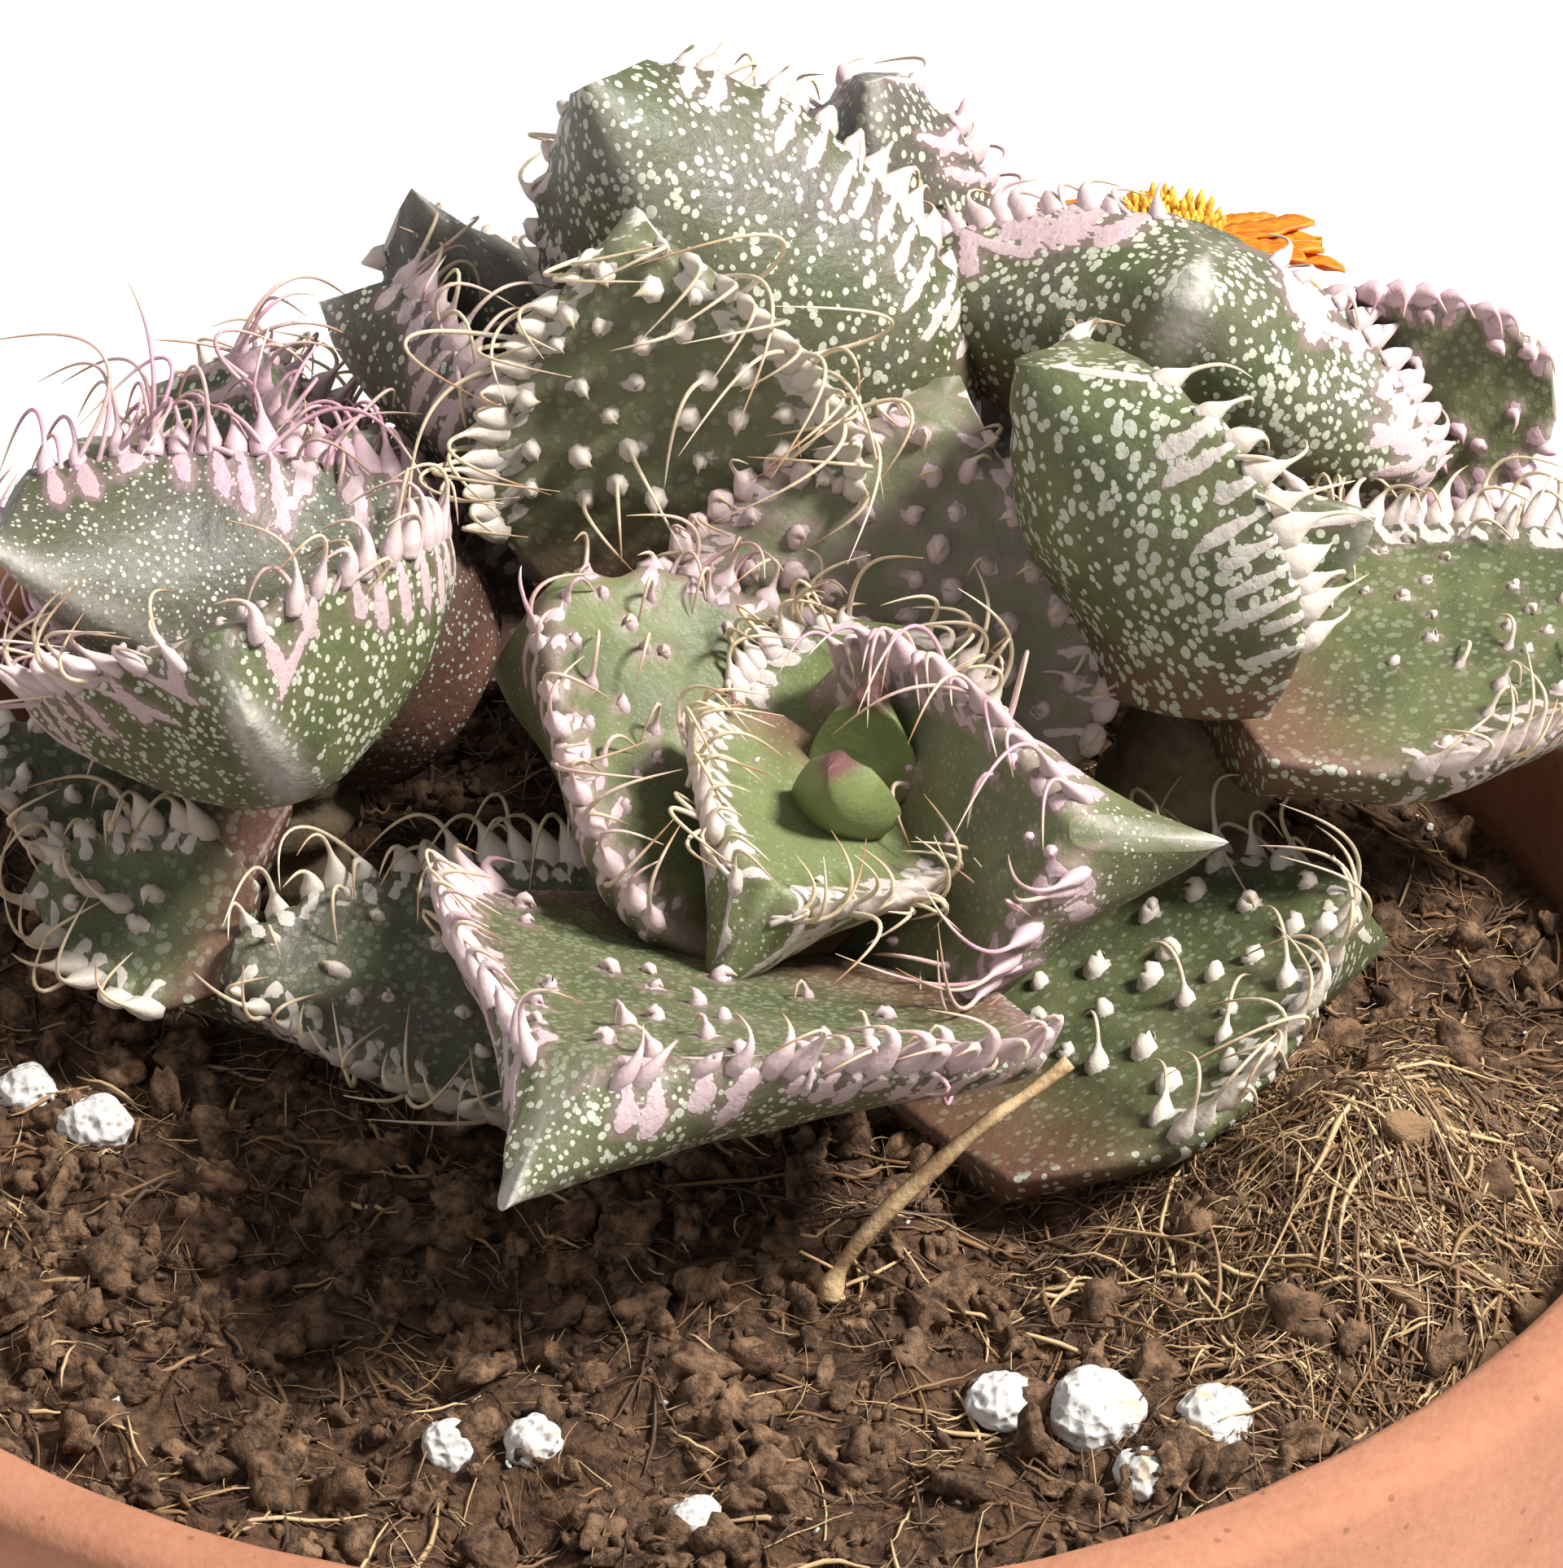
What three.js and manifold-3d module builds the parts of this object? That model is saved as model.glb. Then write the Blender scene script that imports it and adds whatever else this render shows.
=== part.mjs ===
// A clump of tiger-jaws succulent growing in a round terracotta pot. Millimetres, +Z up.
// The origin is the centre of the pot's base; the plant leans out towards -Y, which is the front.

import * as THREE from "three";
import { mergeVertices } from "three/addons/utils/BufferGeometryUtils.js";
import Module from "manifold-3d";

const wasm = await Module();
wasm.setup();

// ---- pot ----
const POT_HEIGHT = 96;
const RIM_OUTER_RADIUS = 61;
const COLLAR_HEIGHT = 24;
const COLLAR_DRAFT = 1.5; // the collar narrows by this from its rim to its lower edge
const COLLAR_STEP = 4; // ledge between the collar and the body
const BASE_RADIUS = 40;
const WALL = 5;
const FLOOR_THICKNESS = 7;
const DRAIN_RADIUS = 6;
const RIM_ROUNDING = 1.2;
const POT_SIDES = 40;

// ---- soil ----
const SOIL_CLEARANCE = 0.3; // between the soil and the pot
const SOIL_EDGE_DROP = 8; // soil level at the wall, below the rim
const SOIL_CROWN = 1; // the soil's rise from the wall to the plant
const CROWN_FALLS_FROM = 0.35; // shares of the mouth's radius from here on
const ROOT_BALL = { x: 40, y: -19, spread: 14, height: 8, fadesFrom: 0.72 }; // raised lump of old peat
const SOIL_SIDES = 32;
const SOIL_RINGS = 6;

// ---- plant ----
const LEAF_STATIONS = 7; // rings of points along a leaf
const SIDE_POINTS = 2; // points between a margin and the keel on one flank
const LEAF_GAP = 0.55; // how far a leaf is grown before it is cut out of what lies outside it
const BASE_WIDTH_SHARE = 0.6; // width of a leaf's base as a share of its greatest width
const WIDEST_AT = 0.36; // where along its length a leaf is widest
const FLANK_ROUNDING = { tip: 0.25, fallsFrom: 0.15, over: 0.7 }; // 1 is an arc, 0 a flat flank
const FACE_HOLLOW = 0.06; // dip of the upper face as a share of half its width
const LEAF_DEFAULTS = { curl: 0, lead: 0.1, belly: 0, tip: 1, bluntness: 1.45, round: 0.8, teeth: 0 };
const BASE_DEPTH_SHARE = 0.5;
const DEEPEST_AT = 0.85;
const TIP_THINS_FROM = 0.5; // where a leaf's depth starts to fall to its tip's share
const LEAD_FROM = 0.45; // where the keel starts to run ahead of the margins
const TOOTH = { length: 2.4, radius: 0.75, sunk: 0.7, sides: 3, first: 0.34, last: 0.93, forward: 0.08 };

// A leaf's base is given from the centre of the pot's mouth; heading is counterclockwise from +X,
// rise is up from level, roll turns it about its own length, curl bends it up along its length,
// lead is how far its keel overhangs its tip as a share of its length, belly deepens its middle,
// tip is the tip's share of the depth, bluntness and round shape its outline, teeth are per margin.
const LEAVES = {
  bud_left: {
    base: [9.5, -2, 10.5], heading: -106, rise: 55, roll: 0, length: 7, width: 6.5, depth: 3.5,
    curl: 30, round: 0.6,
  },
  bud_right: {
    base: [9.8, -0.8, 10.7], heading: 75, rise: 62, roll: 0, length: 6.5, width: 6.5, depth: 3,
    curl: 30, round: 0.6,
  },
  front_1a: {
    base: [9.5, 2.5, 12], heading: -106, rise: 5, roll: -25, length: 15.5, width: 16, depth: 9,
    curl: -5, lead: 0.25, round: 0.7, teeth: 5,
  },
  front_1b: {
    base: [9.5, 3.5, 11], heading: 75, rise: 30, roll: 0, length: 9, width: 15, depth: 6,
    curl: 7, lead: 0.14, round: 0.6, teeth: 3,
  },
  front_2a: {
    base: [11, -2, 4.5], heading: 148, rise: 41, roll: -1, length: 27, width: 28, depth: 12,
    curl: -10, lead: 0, round: 0.85, teeth: 7,
  },
  front_2b: {
    base: [4.5, 2.5, 3], heading: -42, rise: 33, roll: 60, length: 25, width: 25, depth: 12,
    curl: -10, lead: 0.2, round: 0.85, teeth: 9,
  },
  front_3a: {
    base: [8.5, -6, 5], heading: -120, rise: 24, roll: 2, length: 30, width: 36, depth: 8.5,
    curl: -10, lead: 0.3, round: 0.85, teeth: 12,
  },
  front_3b: {
    base: [9, 7, 7], heading: 68, rise: 47, roll: 18, length: 22.5, width: 27.5, depth: 12,
    curl: 7, lead: 0.2, round: 0.75, teeth: 8,
  },
  front_4a: {
    base: [0.5, 18, 12], heading: 159, rise: 80, roll: -73, length: 24, width: 22, depth: 7,
    curl: 1, lead: 0, round: 0.75, teeth: 10,
  },
  front_4b: {
    base: [13.5, -9.5, -4.5], heading: 33, rise: 17, roll: -8, length: 29.5, width: 29, depth: 9,
    curl: -4, round: 0.75, teeth: 9,
  },
  front_5a: {
    base: [2.5, -3.5, -1], heading: 175, rise: 4, roll: -27, length: 29, width: 17.5, depth: 10,
    curl: 3, round: 0.7, teeth: 9,
  },
  right_1: {
    base: [29.5, 12, 11], heading: 103, rise: 76, roll: 105, length: 21.5, width: 26.5, depth: 11.5,
    curl: -21, lead: 0.2, tip: 0.7, bluntness: 2.2, round: 0.5, teeth: 8,
  },
  right_2: {
    base: [30.5, 9.5, 12], heading: 20, rise: 5, roll: 6, length: 27.5, width: 23, depth: 12,
    curl: -2, round: 0.6, teeth: 10,
  },
  right_3: {
    base: [26.5, 31.5, 15], heading: 34, rise: 67, roll: 225, length: 15, width: 34, depth: 11.5,
    curl: -12, round: 0.7, teeth: 9,
  },
  right_4: {
    base: [33.5, 31.5, 17], heading: 1, rise: 5, roll: 84, length: 18, width: 15, depth: 7,
    curl: 6, lead: 0, tip: 0.5, bluntness: 2.2, round: 0.55, teeth: 6,
  },
  right_5a: {
    base: [27, 18, 9], heading: 170, rise: 62, roll: 0, length: 12, width: 11, depth: 6,
    curl: 8, teeth: 3,
  },
  right_5b: {
    base: [30, 19, 9], heading: -10, rise: 62, roll: 0, length: 12, width: 11, depth: 6,
    curl: 8, teeth: 3,
  },
  back_1: {
    base: [11, 30, 9.5], heading: 157, rise: 60, roll: 111, length: 33.5, width: 23.5, depth: 12,
    curl: -4, tip: 0.8, bluntness: 2, round: 0.55, teeth: 11,
  },
  back_2: {
    base: [-5, 36, 10], heading: 158, rise: 46, roll: 150, length: 20, width: 16, depth: 9,
    curl: 3, teeth: 6,
  },
  back_3: {
    base: [12, 42, 12.5], heading: 100, rise: 82, roll: 163, length: 21, width: 15.5, depth: 9,
    curl: 3, round: 0.6, teeth: 6,
  },
  back_4: {
    base: [2, 34, 9], heading: 95, rise: 48, roll: 0, length: 20, width: 19, depth: 10,
    curl: 10, teeth: 6,
  },
  back_5: {
    base: [4, 33, 4], heading: 128, rise: 22, roll: 0, length: 26, width: 20, depth: 10,
    curl: 8, lead: 0.12, teeth: 7,
  },
  back_6: {
    base: [9, 33, 4], heading: 68, rise: 24, roll: 0, length: 25, width: 19, depth: 10,
    curl: 8, lead: 0.12, teeth: 7,
  },
  left_1a: {
    base: [-25, 23, 11], heading: 20, rise: 60, roll: 10, length: 10, width: 9, depth: 5,
    curl: 8, teeth: 3,
  },
  left_1b: {
    base: [-27, 24, 10], heading: 175, rise: 62, roll: -5, length: 11, width: 10, depth: 5,
    curl: 8, teeth: 3,
  },
  left_2a: {
    base: [-24.5, 14, 14.5], heading: -95, rise: 33, roll: 24, length: 23, width: 25.5, depth: 9,
    curl: -10, lead: 0, belly: 5, tip: 0.75, round: 0.8, teeth: 8,
  },
  left_2b: {
    base: [-25, 26, 6], heading: 96, rise: 36, roll: 0, length: 18, width: 18, depth: 9,
    curl: 8, teeth: 6,
  },
  left_3a: {
    base: [-15, 22, 4.5], heading: 198, rise: 36, roll: 80, length: 30, width: 23, depth: 12,
    curl: 8, teeth: 11,
  },
  left_3b: {
    base: [-14, 20, 9], heading: 136, rise: 38, roll: 40, length: 21, width: 18, depth: 9,
    curl: 4, teeth: 8,
  },
  left_3c: {
    base: [-6, 25, 14], heading: 140, rise: 42, roll: 45, length: 18, width: 17, depth: 8,
    curl: 4, teeth: 7,
  },
  left_4: {
    base: [-25, 0.5, 1], heading: 163, rise: 8, roll: -40, length: 13, width: 11, depth: 6.5,
    curl: 5, round: 0.7, teeth: 4,
  },
  left_5: {
    base: [-24, 6, 3], heading: 158, rise: 12, roll: -25, length: 18, width: 13, depth: 8,
    curl: 5, teeth: 5,
  },
  left_6: {
    base: [-14, 24, 3], heading: 120, rise: 25, roll: 0, length: 21, width: 18, depth: 9,
    curl: 5, teeth: 6,
  },
};

// Short woody stems that carry the rosettes: centre from the pot's axis, top above the rim.
const STEMS = {
  stem_front: { at: [6, 4], top: 6, radius: 7.5 },
  stem_left: { at: [-24, 19], top: 7, radius: 5.5 },
  stem_right: { at: [29, 17], top: 6, radius: 5.5 },
  stem_back: { at: [7, 30], top: 10, radius: 6.5 },
};
const STEM_DEPTH = 18; // how far a stem reaches below the rim
const STEM_SIDES = 12;
const STEM_FOOT_SHARE = 0.55;
const STEM_CROWN_SHARE = 0.8;

// ---- flower, at the back on the right ----
const FLOWER = {
  at: [28.5, 46],
  height: 19.5,
  tilt: 12,
  petals: 12,
  radius: 13,
  petalWidth: 4,
  petalDepth: 0.9,
  shoulderAt: 0.75, // where a petal starts to narrow, as a share of its reach
  tipShare: 0.36, // width of a petal's tip as a share of its width
  webbing: 2, // the petals are joined this far out from the tube
};
const FLOWER_TUBE = { radius: 3, rootRadius: 2.2, rootDepth: 18, flareFrom: 8, flareTo: 2, rimAbove: 1 };

// ---- loose things on the soil: centre from the pot's axis, mean radius ----
const PERLITE = [
  [-37, -4, 1.9],
  [-33, -7.5, 2],
  [-30, -31.5, 1.5],
  [-12, -36, 1.5],
  [-7.5, -36, 1.8],
  [1, -42, 1.5],
  [17.5, -32.5, 1.8],
  [22.5, -34, 2.5],
  [28.5, -34.5, 2],
  [25, -38.5, 1.7],
];
const GRAIN = { waves: [2.1, 1.7, 3.3], lumps: 0.14, flatness: 0.85, lift: 0.35 };
const STRAW = {
  from: [21, -19, 6],
  bend: [12, -22.5, -0.5],
  to: [8, -23.7, -6.1],
  radius: 0.55,
  sides: 6,
  steps: 6,
};

const COLOURS = {
  terracotta: 0xa9583a,
  peat: 0x3a2a1e,
  leaf: 0x64784c,
  stem: 0x6b5a40,
  petal: 0xf0a818,
  calyx: 0x6f8350,
  perlite: 0xefeeea,
  straw: 0xb79a68,
};
const DEGREE = Math.PI / 180;
const BARELY_BENT = 1e-9; // keeps a straight leaf's bend above zero
const WELD = 1e-3; // vertices closer than this are one

function clamp01(value) {
  return THREE.MathUtils.clamp(value, 0, 1);
}

function smooth(value) {
  return THREE.MathUtils.smoothstep(value, 0, 1);
}

// ---- solids ----
function solidFrom(geometry) {
  const bare = new THREE.BufferGeometry();
  bare.setAttribute("position", geometry.getAttribute("position").clone());
  if (geometry.index) bare.setIndex(geometry.index.clone());
  const merged = mergeVertices(bare, WELD);
  const corners = merged.index.array;
  const kept = [];
  for (let i = 0; i < corners.length; i += 3) {
    const [a, b, c] = [corners[i], corners[i + 1], corners[i + 2]];
    if (a !== b && b !== c && c !== a) kept.push(a, b, c);
  }
  return new wasm.Manifold(
    new wasm.Mesh({
      numProp: 3,
      vertProperties: new Float32Array(merged.attributes.position.array),
      triVerts: new Uint32Array(kept),
    }),
  );
}

function geometryFrom(solid) {
  const mesh = solid.getMesh();
  const geometry = new THREE.BufferGeometry();
  geometry.setAttribute("position", new THREE.BufferAttribute(mesh.vertProperties, 3));
  geometry.setIndex(new THREE.BufferAttribute(mesh.triVerts, 1));
  return geometry;
}

function boxesTouch(first, second) {
  const [a, b] = [first.boundingBox(), second.boundingBox()];
  return [0, 1, 2].every((axis) => a.min[axis] < b.max[axis] && b.min[axis] < a.max[axis]);
}

function isClear(solid, others) {
  return others.every((other) => !boxesTouch(solid, other) || solid.intersect(other).isEmpty());
}

// A solid less every cutter that reaches it, keeping its largest piece.
function cutBy(solid, cutters) {
  let rest = solid;
  for (const cutter of cutters) {
    if (boxesTouch(rest, cutter)) rest = rest.subtract(cutter);
  }
  const pieces = rest.decompose();
  return pieces.reduce((best, piece) => (piece.volume() > best.volume() ? piece : best));
}

// ---- leaf ----
function halfWidth(leaf, s) {
  const arc = Math.sin((Math.PI / 2) * clamp01(s / WIDEST_AT));
  const rising = BASE_WIDTH_SHARE + (1 - BASE_WIDTH_SHARE) * arc;
  const beyond = clamp01((s - WIDEST_AT) / (1 - WIDEST_AT));
  const falling = (1 - beyond ** leaf.bluntness) ** leaf.round;
  return (leaf.width / 2) * (s < WIDEST_AT ? rising : falling);
}

function keelDepth(leaf, s) {
  const growing = BASE_DEPTH_SHARE + (1 - BASE_DEPTH_SHARE) * smooth(s / DEEPEST_AT);
  const thinning = 1 - (1 - leaf.tip) * smooth((s - TIP_THINS_FROM) / (1 - TIP_THINS_FROM));
  return leaf.depth * growing * thinning + leaf.belly * Math.sin(Math.PI * s) ** 2;
}

function keelLead(leaf, s) {
  return leaf.lead * leaf.length * smooth((s - LEAD_FROM) / (1 - LEAD_FROM));
}

// A leaf's own x (along), y (across) and z (up) as a place in the part, with its curl and turns.
function placeOnPlant(leaf, x, y, z) {
  const bend = leaf.curl * DEGREE + BARELY_BENT;
  const turned = (bend * x) / leaf.length;
  const along = (leaf.length / bend) * Math.sin(turned) - z * Math.sin(turned);
  const upward = (leaf.length / bend) * (1 - Math.cos(turned)) + z * Math.cos(turned);
  const point = new THREE.Vector3(along, y, upward);
  point.applyAxisAngle(new THREE.Vector3(1, 0, 0), leaf.roll * DEGREE);
  point.applyAxisAngle(new THREE.Vector3(0, 1, 0), -leaf.rise * DEGREE);
  point.applyAxisAngle(new THREE.Vector3(0, 0, 1), leaf.heading * DEGREE);
  const [baseX, baseY, baseZ] = leaf.base;
  return point.add(new THREE.Vector3(baseX, baseY, baseZ + POT_HEIGHT));
}

// A point on the underside: side runs from -1 at one margin, over 0 at the keel, to 1 at the other.
function undersidePoint(leaf, s, side) {
  const flattening = smooth((s - FLANK_ROUNDING.fallsFrom) / FLANK_ROUNDING.over);
  const roundness = 1 - (1 - FLANK_ROUNDING.tip) * flattening;
  const out = Math.abs(side);
  const across = (1 - roundness) * out + roundness * Math.sin((Math.PI / 2) * out);
  const down = (1 - roundness) * (1 - out) + roundness * Math.cos((Math.PI / 2) * out);
  const x = leaf.length * s + keelLead(leaf, s) * down;
  const y = Math.sign(side) * halfWidth(leaf, s) * across;
  return placeOnPlant(leaf, x, y, -keelDepth(leaf, s) * down);
}

function leafRing(leaf, s) {
  const ring = [];
  for (let i = -SIDE_POINTS; i <= SIDE_POINTS; i += 1) {
    ring.push(undersidePoint(leaf, s, i / SIDE_POINTS));
  }
  ring.push(placeOnPlant(leaf, leaf.length * s, 0, -FACE_HOLLOW * halfWidth(leaf, s)));
  return ring;
}

function leafGeometry(leaf) {
  const positions = [];
  const indices = [];
  const around = 2 * SIDE_POINTS + 2;
  for (let i = 0; i <= LEAF_STATIONS; i += 1) {
    for (const point of leafRing(leaf, i / LEAF_STATIONS)) positions.push(...point.toArray());
  }
  const baseCentre = positions.length / 3;
  positions.push(...placeOnPlant(leaf, 0, 0, -keelDepth(leaf, 0) / 2).toArray());
  for (let i = 0; i < LEAF_STATIONS; i += 1) {
    for (let j = 0; j < around; j += 1) {
      const next = (j + 1) % around;
      const [a, b] = [i * around + j, i * around + next];
      const [c, d] = [a + around, b + around];
      indices.push(a, b, d, a, d, c);
    }
  }
  for (let j = 0; j < around; j += 1) indices.push(baseCentre, (j + 1) % around, j);
  const geometry = new THREE.BufferGeometry();
  geometry.setAttribute("position", new THREE.Float32BufferAttribute(positions, 3));
  geometry.setIndex(indices);
  return geometry;
}

// The same leaf with its skin moved out, to cut its bed in what lies around it.
function grownLeaf(leaf) {
  const bare = mergeVertices(leafGeometry(leaf), WELD);
  bare.computeVertexNormals();
  const { position, normal } = bare.attributes;
  for (let i = 0; i < position.count; i += 1) {
    const point = new THREE.Vector3().fromBufferAttribute(position, i);
    point.addScaledVector(new THREE.Vector3().fromBufferAttribute(normal, i), LEAF_GAP);
    position.setXYZ(i, ...point.toArray());
  }
  return solidFrom(bare).add(solidFrom(leafGeometry(leaf)));
}

// Teeth along both margins, pointing out and forward, each a cone with its foot inside the leaf.
function toothSolids(leaf) {
  const teeth = [];
  for (let i = 0; i < leaf.teeth; i += 1) {
    const s = TOOTH.first + ((TOOTH.last - TOOTH.first) * (i + 0.5)) / leaf.teeth;
    for (const side of [-1, 1]) {
      const foot = undersidePoint(leaf, s, side);
      const inner = placeOnPlant(leaf, leaf.length * (s - TOOTH.forward), 0, 0);
      const outward = foot.clone().sub(inner).normalize();
      const [body, grown] = [0, LEAF_GAP].map((growth) => toothSolid(foot, outward, growth));
      teeth.push({ body, grown });
    }
  }
  return teeth;
}

function toothSolid(foot, outward, growth) {
  const length = TOOTH.length + TOOTH.sunk + growth;
  const cone = new THREE.ConeGeometry(TOOTH.radius + growth, length, TOOTH.sides);
  cone.translate(0, length / 2 - TOOTH.sunk, 0);
  cone.applyQuaternion(new THREE.Quaternion().setFromUnitVectors(new THREE.Vector3(0, 1, 0), outward));
  return solidFrom(cone.translate(...foot.toArray()));
}

// ---- pot and soil ----
function innerRadiusAt(z) {
  const mouth = RIM_OUTER_RADIUS - WALL;
  const share = (z - FLOOR_THICKNESS) / (POT_HEIGHT - FLOOR_THICKNESS);
  return THREE.MathUtils.lerp(BASE_RADIUS - WALL, mouth, share);
}

function potGeometry() {
  const collarBottom = POT_HEIGHT - COLLAR_HEIGHT;
  const collarLow = RIM_OUTER_RADIUS - COLLAR_DRAFT;
  const profile = [
    [DRAIN_RADIUS, 0],
    [BASE_RADIUS, 0],
    [collarLow - COLLAR_STEP, collarBottom - COLLAR_STEP / 2],
    [collarLow, collarBottom],
    [RIM_OUTER_RADIUS, POT_HEIGHT - RIM_ROUNDING],
    [RIM_OUTER_RADIUS - RIM_ROUNDING, POT_HEIGHT],
    [innerRadiusAt(POT_HEIGHT) + RIM_ROUNDING, POT_HEIGHT],
    [innerRadiusAt(POT_HEIGHT - RIM_ROUNDING), POT_HEIGHT - RIM_ROUNDING],
    [innerRadiusAt(FLOOR_THICKNESS), FLOOR_THICKNESS],
    [DRAIN_RADIUS, FLOOR_THICKNESS],
    [DRAIN_RADIUS, 0],
  ];
  return uprightLathe(profile, POT_SIDES);
}

// A lathe about +Z from [radius, z] pairs.
function uprightLathe(profile, sides) {
  const points = profile.map(([radius, z]) => new THREE.Vector2(radius, z));
  return new THREE.LatheGeometry(points, sides).rotateX(Math.PI / 2);
}

function soilHeight(x, y) {
  const mouth = RIM_OUTER_RADIUS - WALL;
  const outward = Math.hypot(x, y) / mouth;
  const crown = SOIL_CROWN * (1 - smooth((outward - CROWN_FALLS_FROM) / (1 - CROWN_FALLS_FROM)));
  const away = Math.hypot(x - ROOT_BALL.x, y - ROOT_BALL.y) / ROOT_BALL.spread;
  const edge = 1 - smooth((outward - ROOT_BALL.fadesFrom) / (1 - ROOT_BALL.fadesFrom));
  return POT_HEIGHT - SOIL_EDGE_DROP + crown + ROOT_BALL.height * Math.exp(-(away ** 2)) * edge;
}

function soilGeometry() {
  const bottom = FLOOR_THICKNESS + SOIL_CLEARANCE;
  const surface = POT_HEIGHT - SOIL_EDGE_DROP;
  const wallAt = (z) => innerRadiusAt(z) - SOIL_CLEARANCE;
  const profile = [[0, bottom], [wallAt(bottom), bottom]];
  for (let i = 0; i <= SOIL_RINGS; i += 1) {
    profile.push([wallAt(surface) * (1 - i / SOIL_RINGS), surface]);
  }
  const geometry = uprightLathe(profile, SOIL_SIDES);
  const { position } = geometry.attributes;
  for (let i = 0; i < position.count; i += 1) {
    const onTop = position.getZ(i) > surface - SOIL_CLEARANCE;
    if (onTop) position.setZ(i, soilHeight(position.getX(i), position.getY(i)));
  }
  return geometry;
}

// ---- stems ----
function stemGeometry(stem, growth) {
  const low = POT_HEIGHT - STEM_DEPTH - growth;
  const high = POT_HEIGHT + stem.top + growth;
  const radius = stem.radius + growth;
  const [foot, crown] = [radius * STEM_FOOT_SHARE, radius * STEM_CROWN_SHARE];
  const profile = [[0, low], [foot, low], [radius, high - radius], [crown, high], [0, high]];
  return uprightLathe(profile, STEM_SIDES).translate(stem.at[0], stem.at[1], 0);
}

// ---- flower ----
function flowerHead(geometry) {
  geometry.rotateX(-FLOWER.tilt * DEGREE);
  return geometry.translate(FLOWER.at[0], FLOWER.at[1], POT_HEIGHT + FLOWER.height);
}

// The ray petals are thin and joined round the tube's mouth, so they are one body.
function petalsSolid() {
  const hub = FLOWER_TUBE.radius + SOIL_CLEARANCE;
  const shoulder = FLOWER.radius * FLOWER.shoulderAt;
  const petalOutline = [
    [hub + FLOWER.webbing, -0.5],
    [shoulder, -0.5],
    [FLOWER.radius, -FLOWER.tipShare / 2],
    [FLOWER.radius, FLOWER.tipShare / 2],
    [shoulder, 0.5],
  ];
  const outline = [];
  for (let i = 0; i < FLOWER.petals; i += 1) {
    const turn = (i * 2 * Math.PI) / FLOWER.petals;
    for (const [radius, side] of petalOutline) {
      const angle = turn + (side * FLOWER.petalWidth) / radius;
      outline.push(new THREE.Vector2(radius * Math.cos(angle), radius * Math.sin(angle)));
    }
  }
  const shape = new THREE.Shape(outline);
  shape.holes.push(new THREE.Path().absarc(0, 0, hub, 0, 2 * Math.PI, true));
  const options = { depth: FLOWER.petalDepth, bevelEnabled: false, curveSegments: STEM_SIDES };
  return solidFrom(flowerHead(new THREE.ExtrudeGeometry(shape, options)));
}

function flowerTubeGeometry(growth) {
  const high = FLOWER.petalDepth + FLOWER_TUBE.rimAbove + growth;
  const low = -FLOWER.height - FLOWER_TUBE.rootDepth - growth;
  const [root, mouth] = [FLOWER_TUBE.rootRadius + growth, FLOWER_TUBE.radius + growth];
  const { flareFrom, flareTo } = FLOWER_TUBE;
  const profile = [[0, low], [root, low], [root, -flareFrom], [mouth, -flareTo], [mouth, high], [0, high]];
  return flowerHead(uprightLathe(profile, STEM_SIDES));
}

// ---- loose things ----
function perliteGeometry([x, y, radius], index, growth) {
  const grain = new THREE.IcosahedronGeometry(radius + growth, 1);
  const { position } = grain.attributes;
  for (let i = 0; i < position.count; i += 1) {
    const [px, py, pz] = [position.getX(i), position.getY(i), position.getZ(i)];
    const wave = Math.sin(GRAIN.waves[0] * px + index) * Math.cos(GRAIN.waves[1] * py - index);
    const lumpy = 1 + GRAIN.lumps * (wave + Math.sin(GRAIN.waves[2] * pz + index) / 2);
    position.setXYZ(i, px * lumpy, py * lumpy, pz * lumpy * GRAIN.flatness);
  }
  return grain.translate(x, y, soilHeight(x, y) + radius * GRAIN.lift);
}

function strawGeometry(radius) {
  const lift = new THREE.Vector3(0, 0, POT_HEIGHT);
  const ends = [STRAW.from, STRAW.bend, STRAW.to];
  const path = new THREE.QuadraticBezierCurve3(...ends.map((end) => new THREE.Vector3(...end).add(lift)));
  const section = new THREE.Shape();
  for (let i = 0; i < STRAW.sides; i += 1) {
    const angle = (i * 2 * Math.PI) / STRAW.sides;
    const [px, py] = [radius * Math.cos(angle), radius * Math.sin(angle)];
    if (i === 0) section.moveTo(px, py);
    else section.lineTo(px, py);
  }
  section.closePath();
  return new THREE.ExtrudeGeometry(section, { steps: STRAW.steps, extrudePath: path });
}

// ---- assembly ----
const part = new THREE.Group();

function addPart(name, geometry, colour, roughness = 0.8) {
  const material = new THREE.MeshStandardMaterial({ color: COLOURS[colour], roughness, metalness: 0 });
  material.name = colour;
  const mesh = new THREE.Mesh(geometry, material);
  mesh.name = name;
  part.add(mesh);
}

// Whatever is added later is cut to keep clear of what is in this list.
const taken = [];

addPart("pot", potGeometry(), "terracotta");

const flowerTube = solidFrom(flowerTubeGeometry(0));
addPart("flower_tube", geometryFrom(flowerTube), "calyx");
taken.push(solidFrom(flowerTubeGeometry(LEAF_GAP)));
const flowerRoom = [...taken, petalsSolid()];

// Leaves are cut from the heart outwards: each makes room for those before it.
const leaves = [];
for (const [name, shape] of Object.entries(LEAVES)) {
  const leaf = { ...LEAF_DEFAULTS, ...shape };
  const grown = grownLeaf(leaf);
  leaves.push({ name, leaf, grown, solid: cutBy(solidFrom(leafGeometry(leaf)), taken) });
  taken.push(grown);
}

addPart("flower_petals", geometryFrom(cutBy(petalsSolid(), taken.slice(1))), "petal", 0.6);

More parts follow.
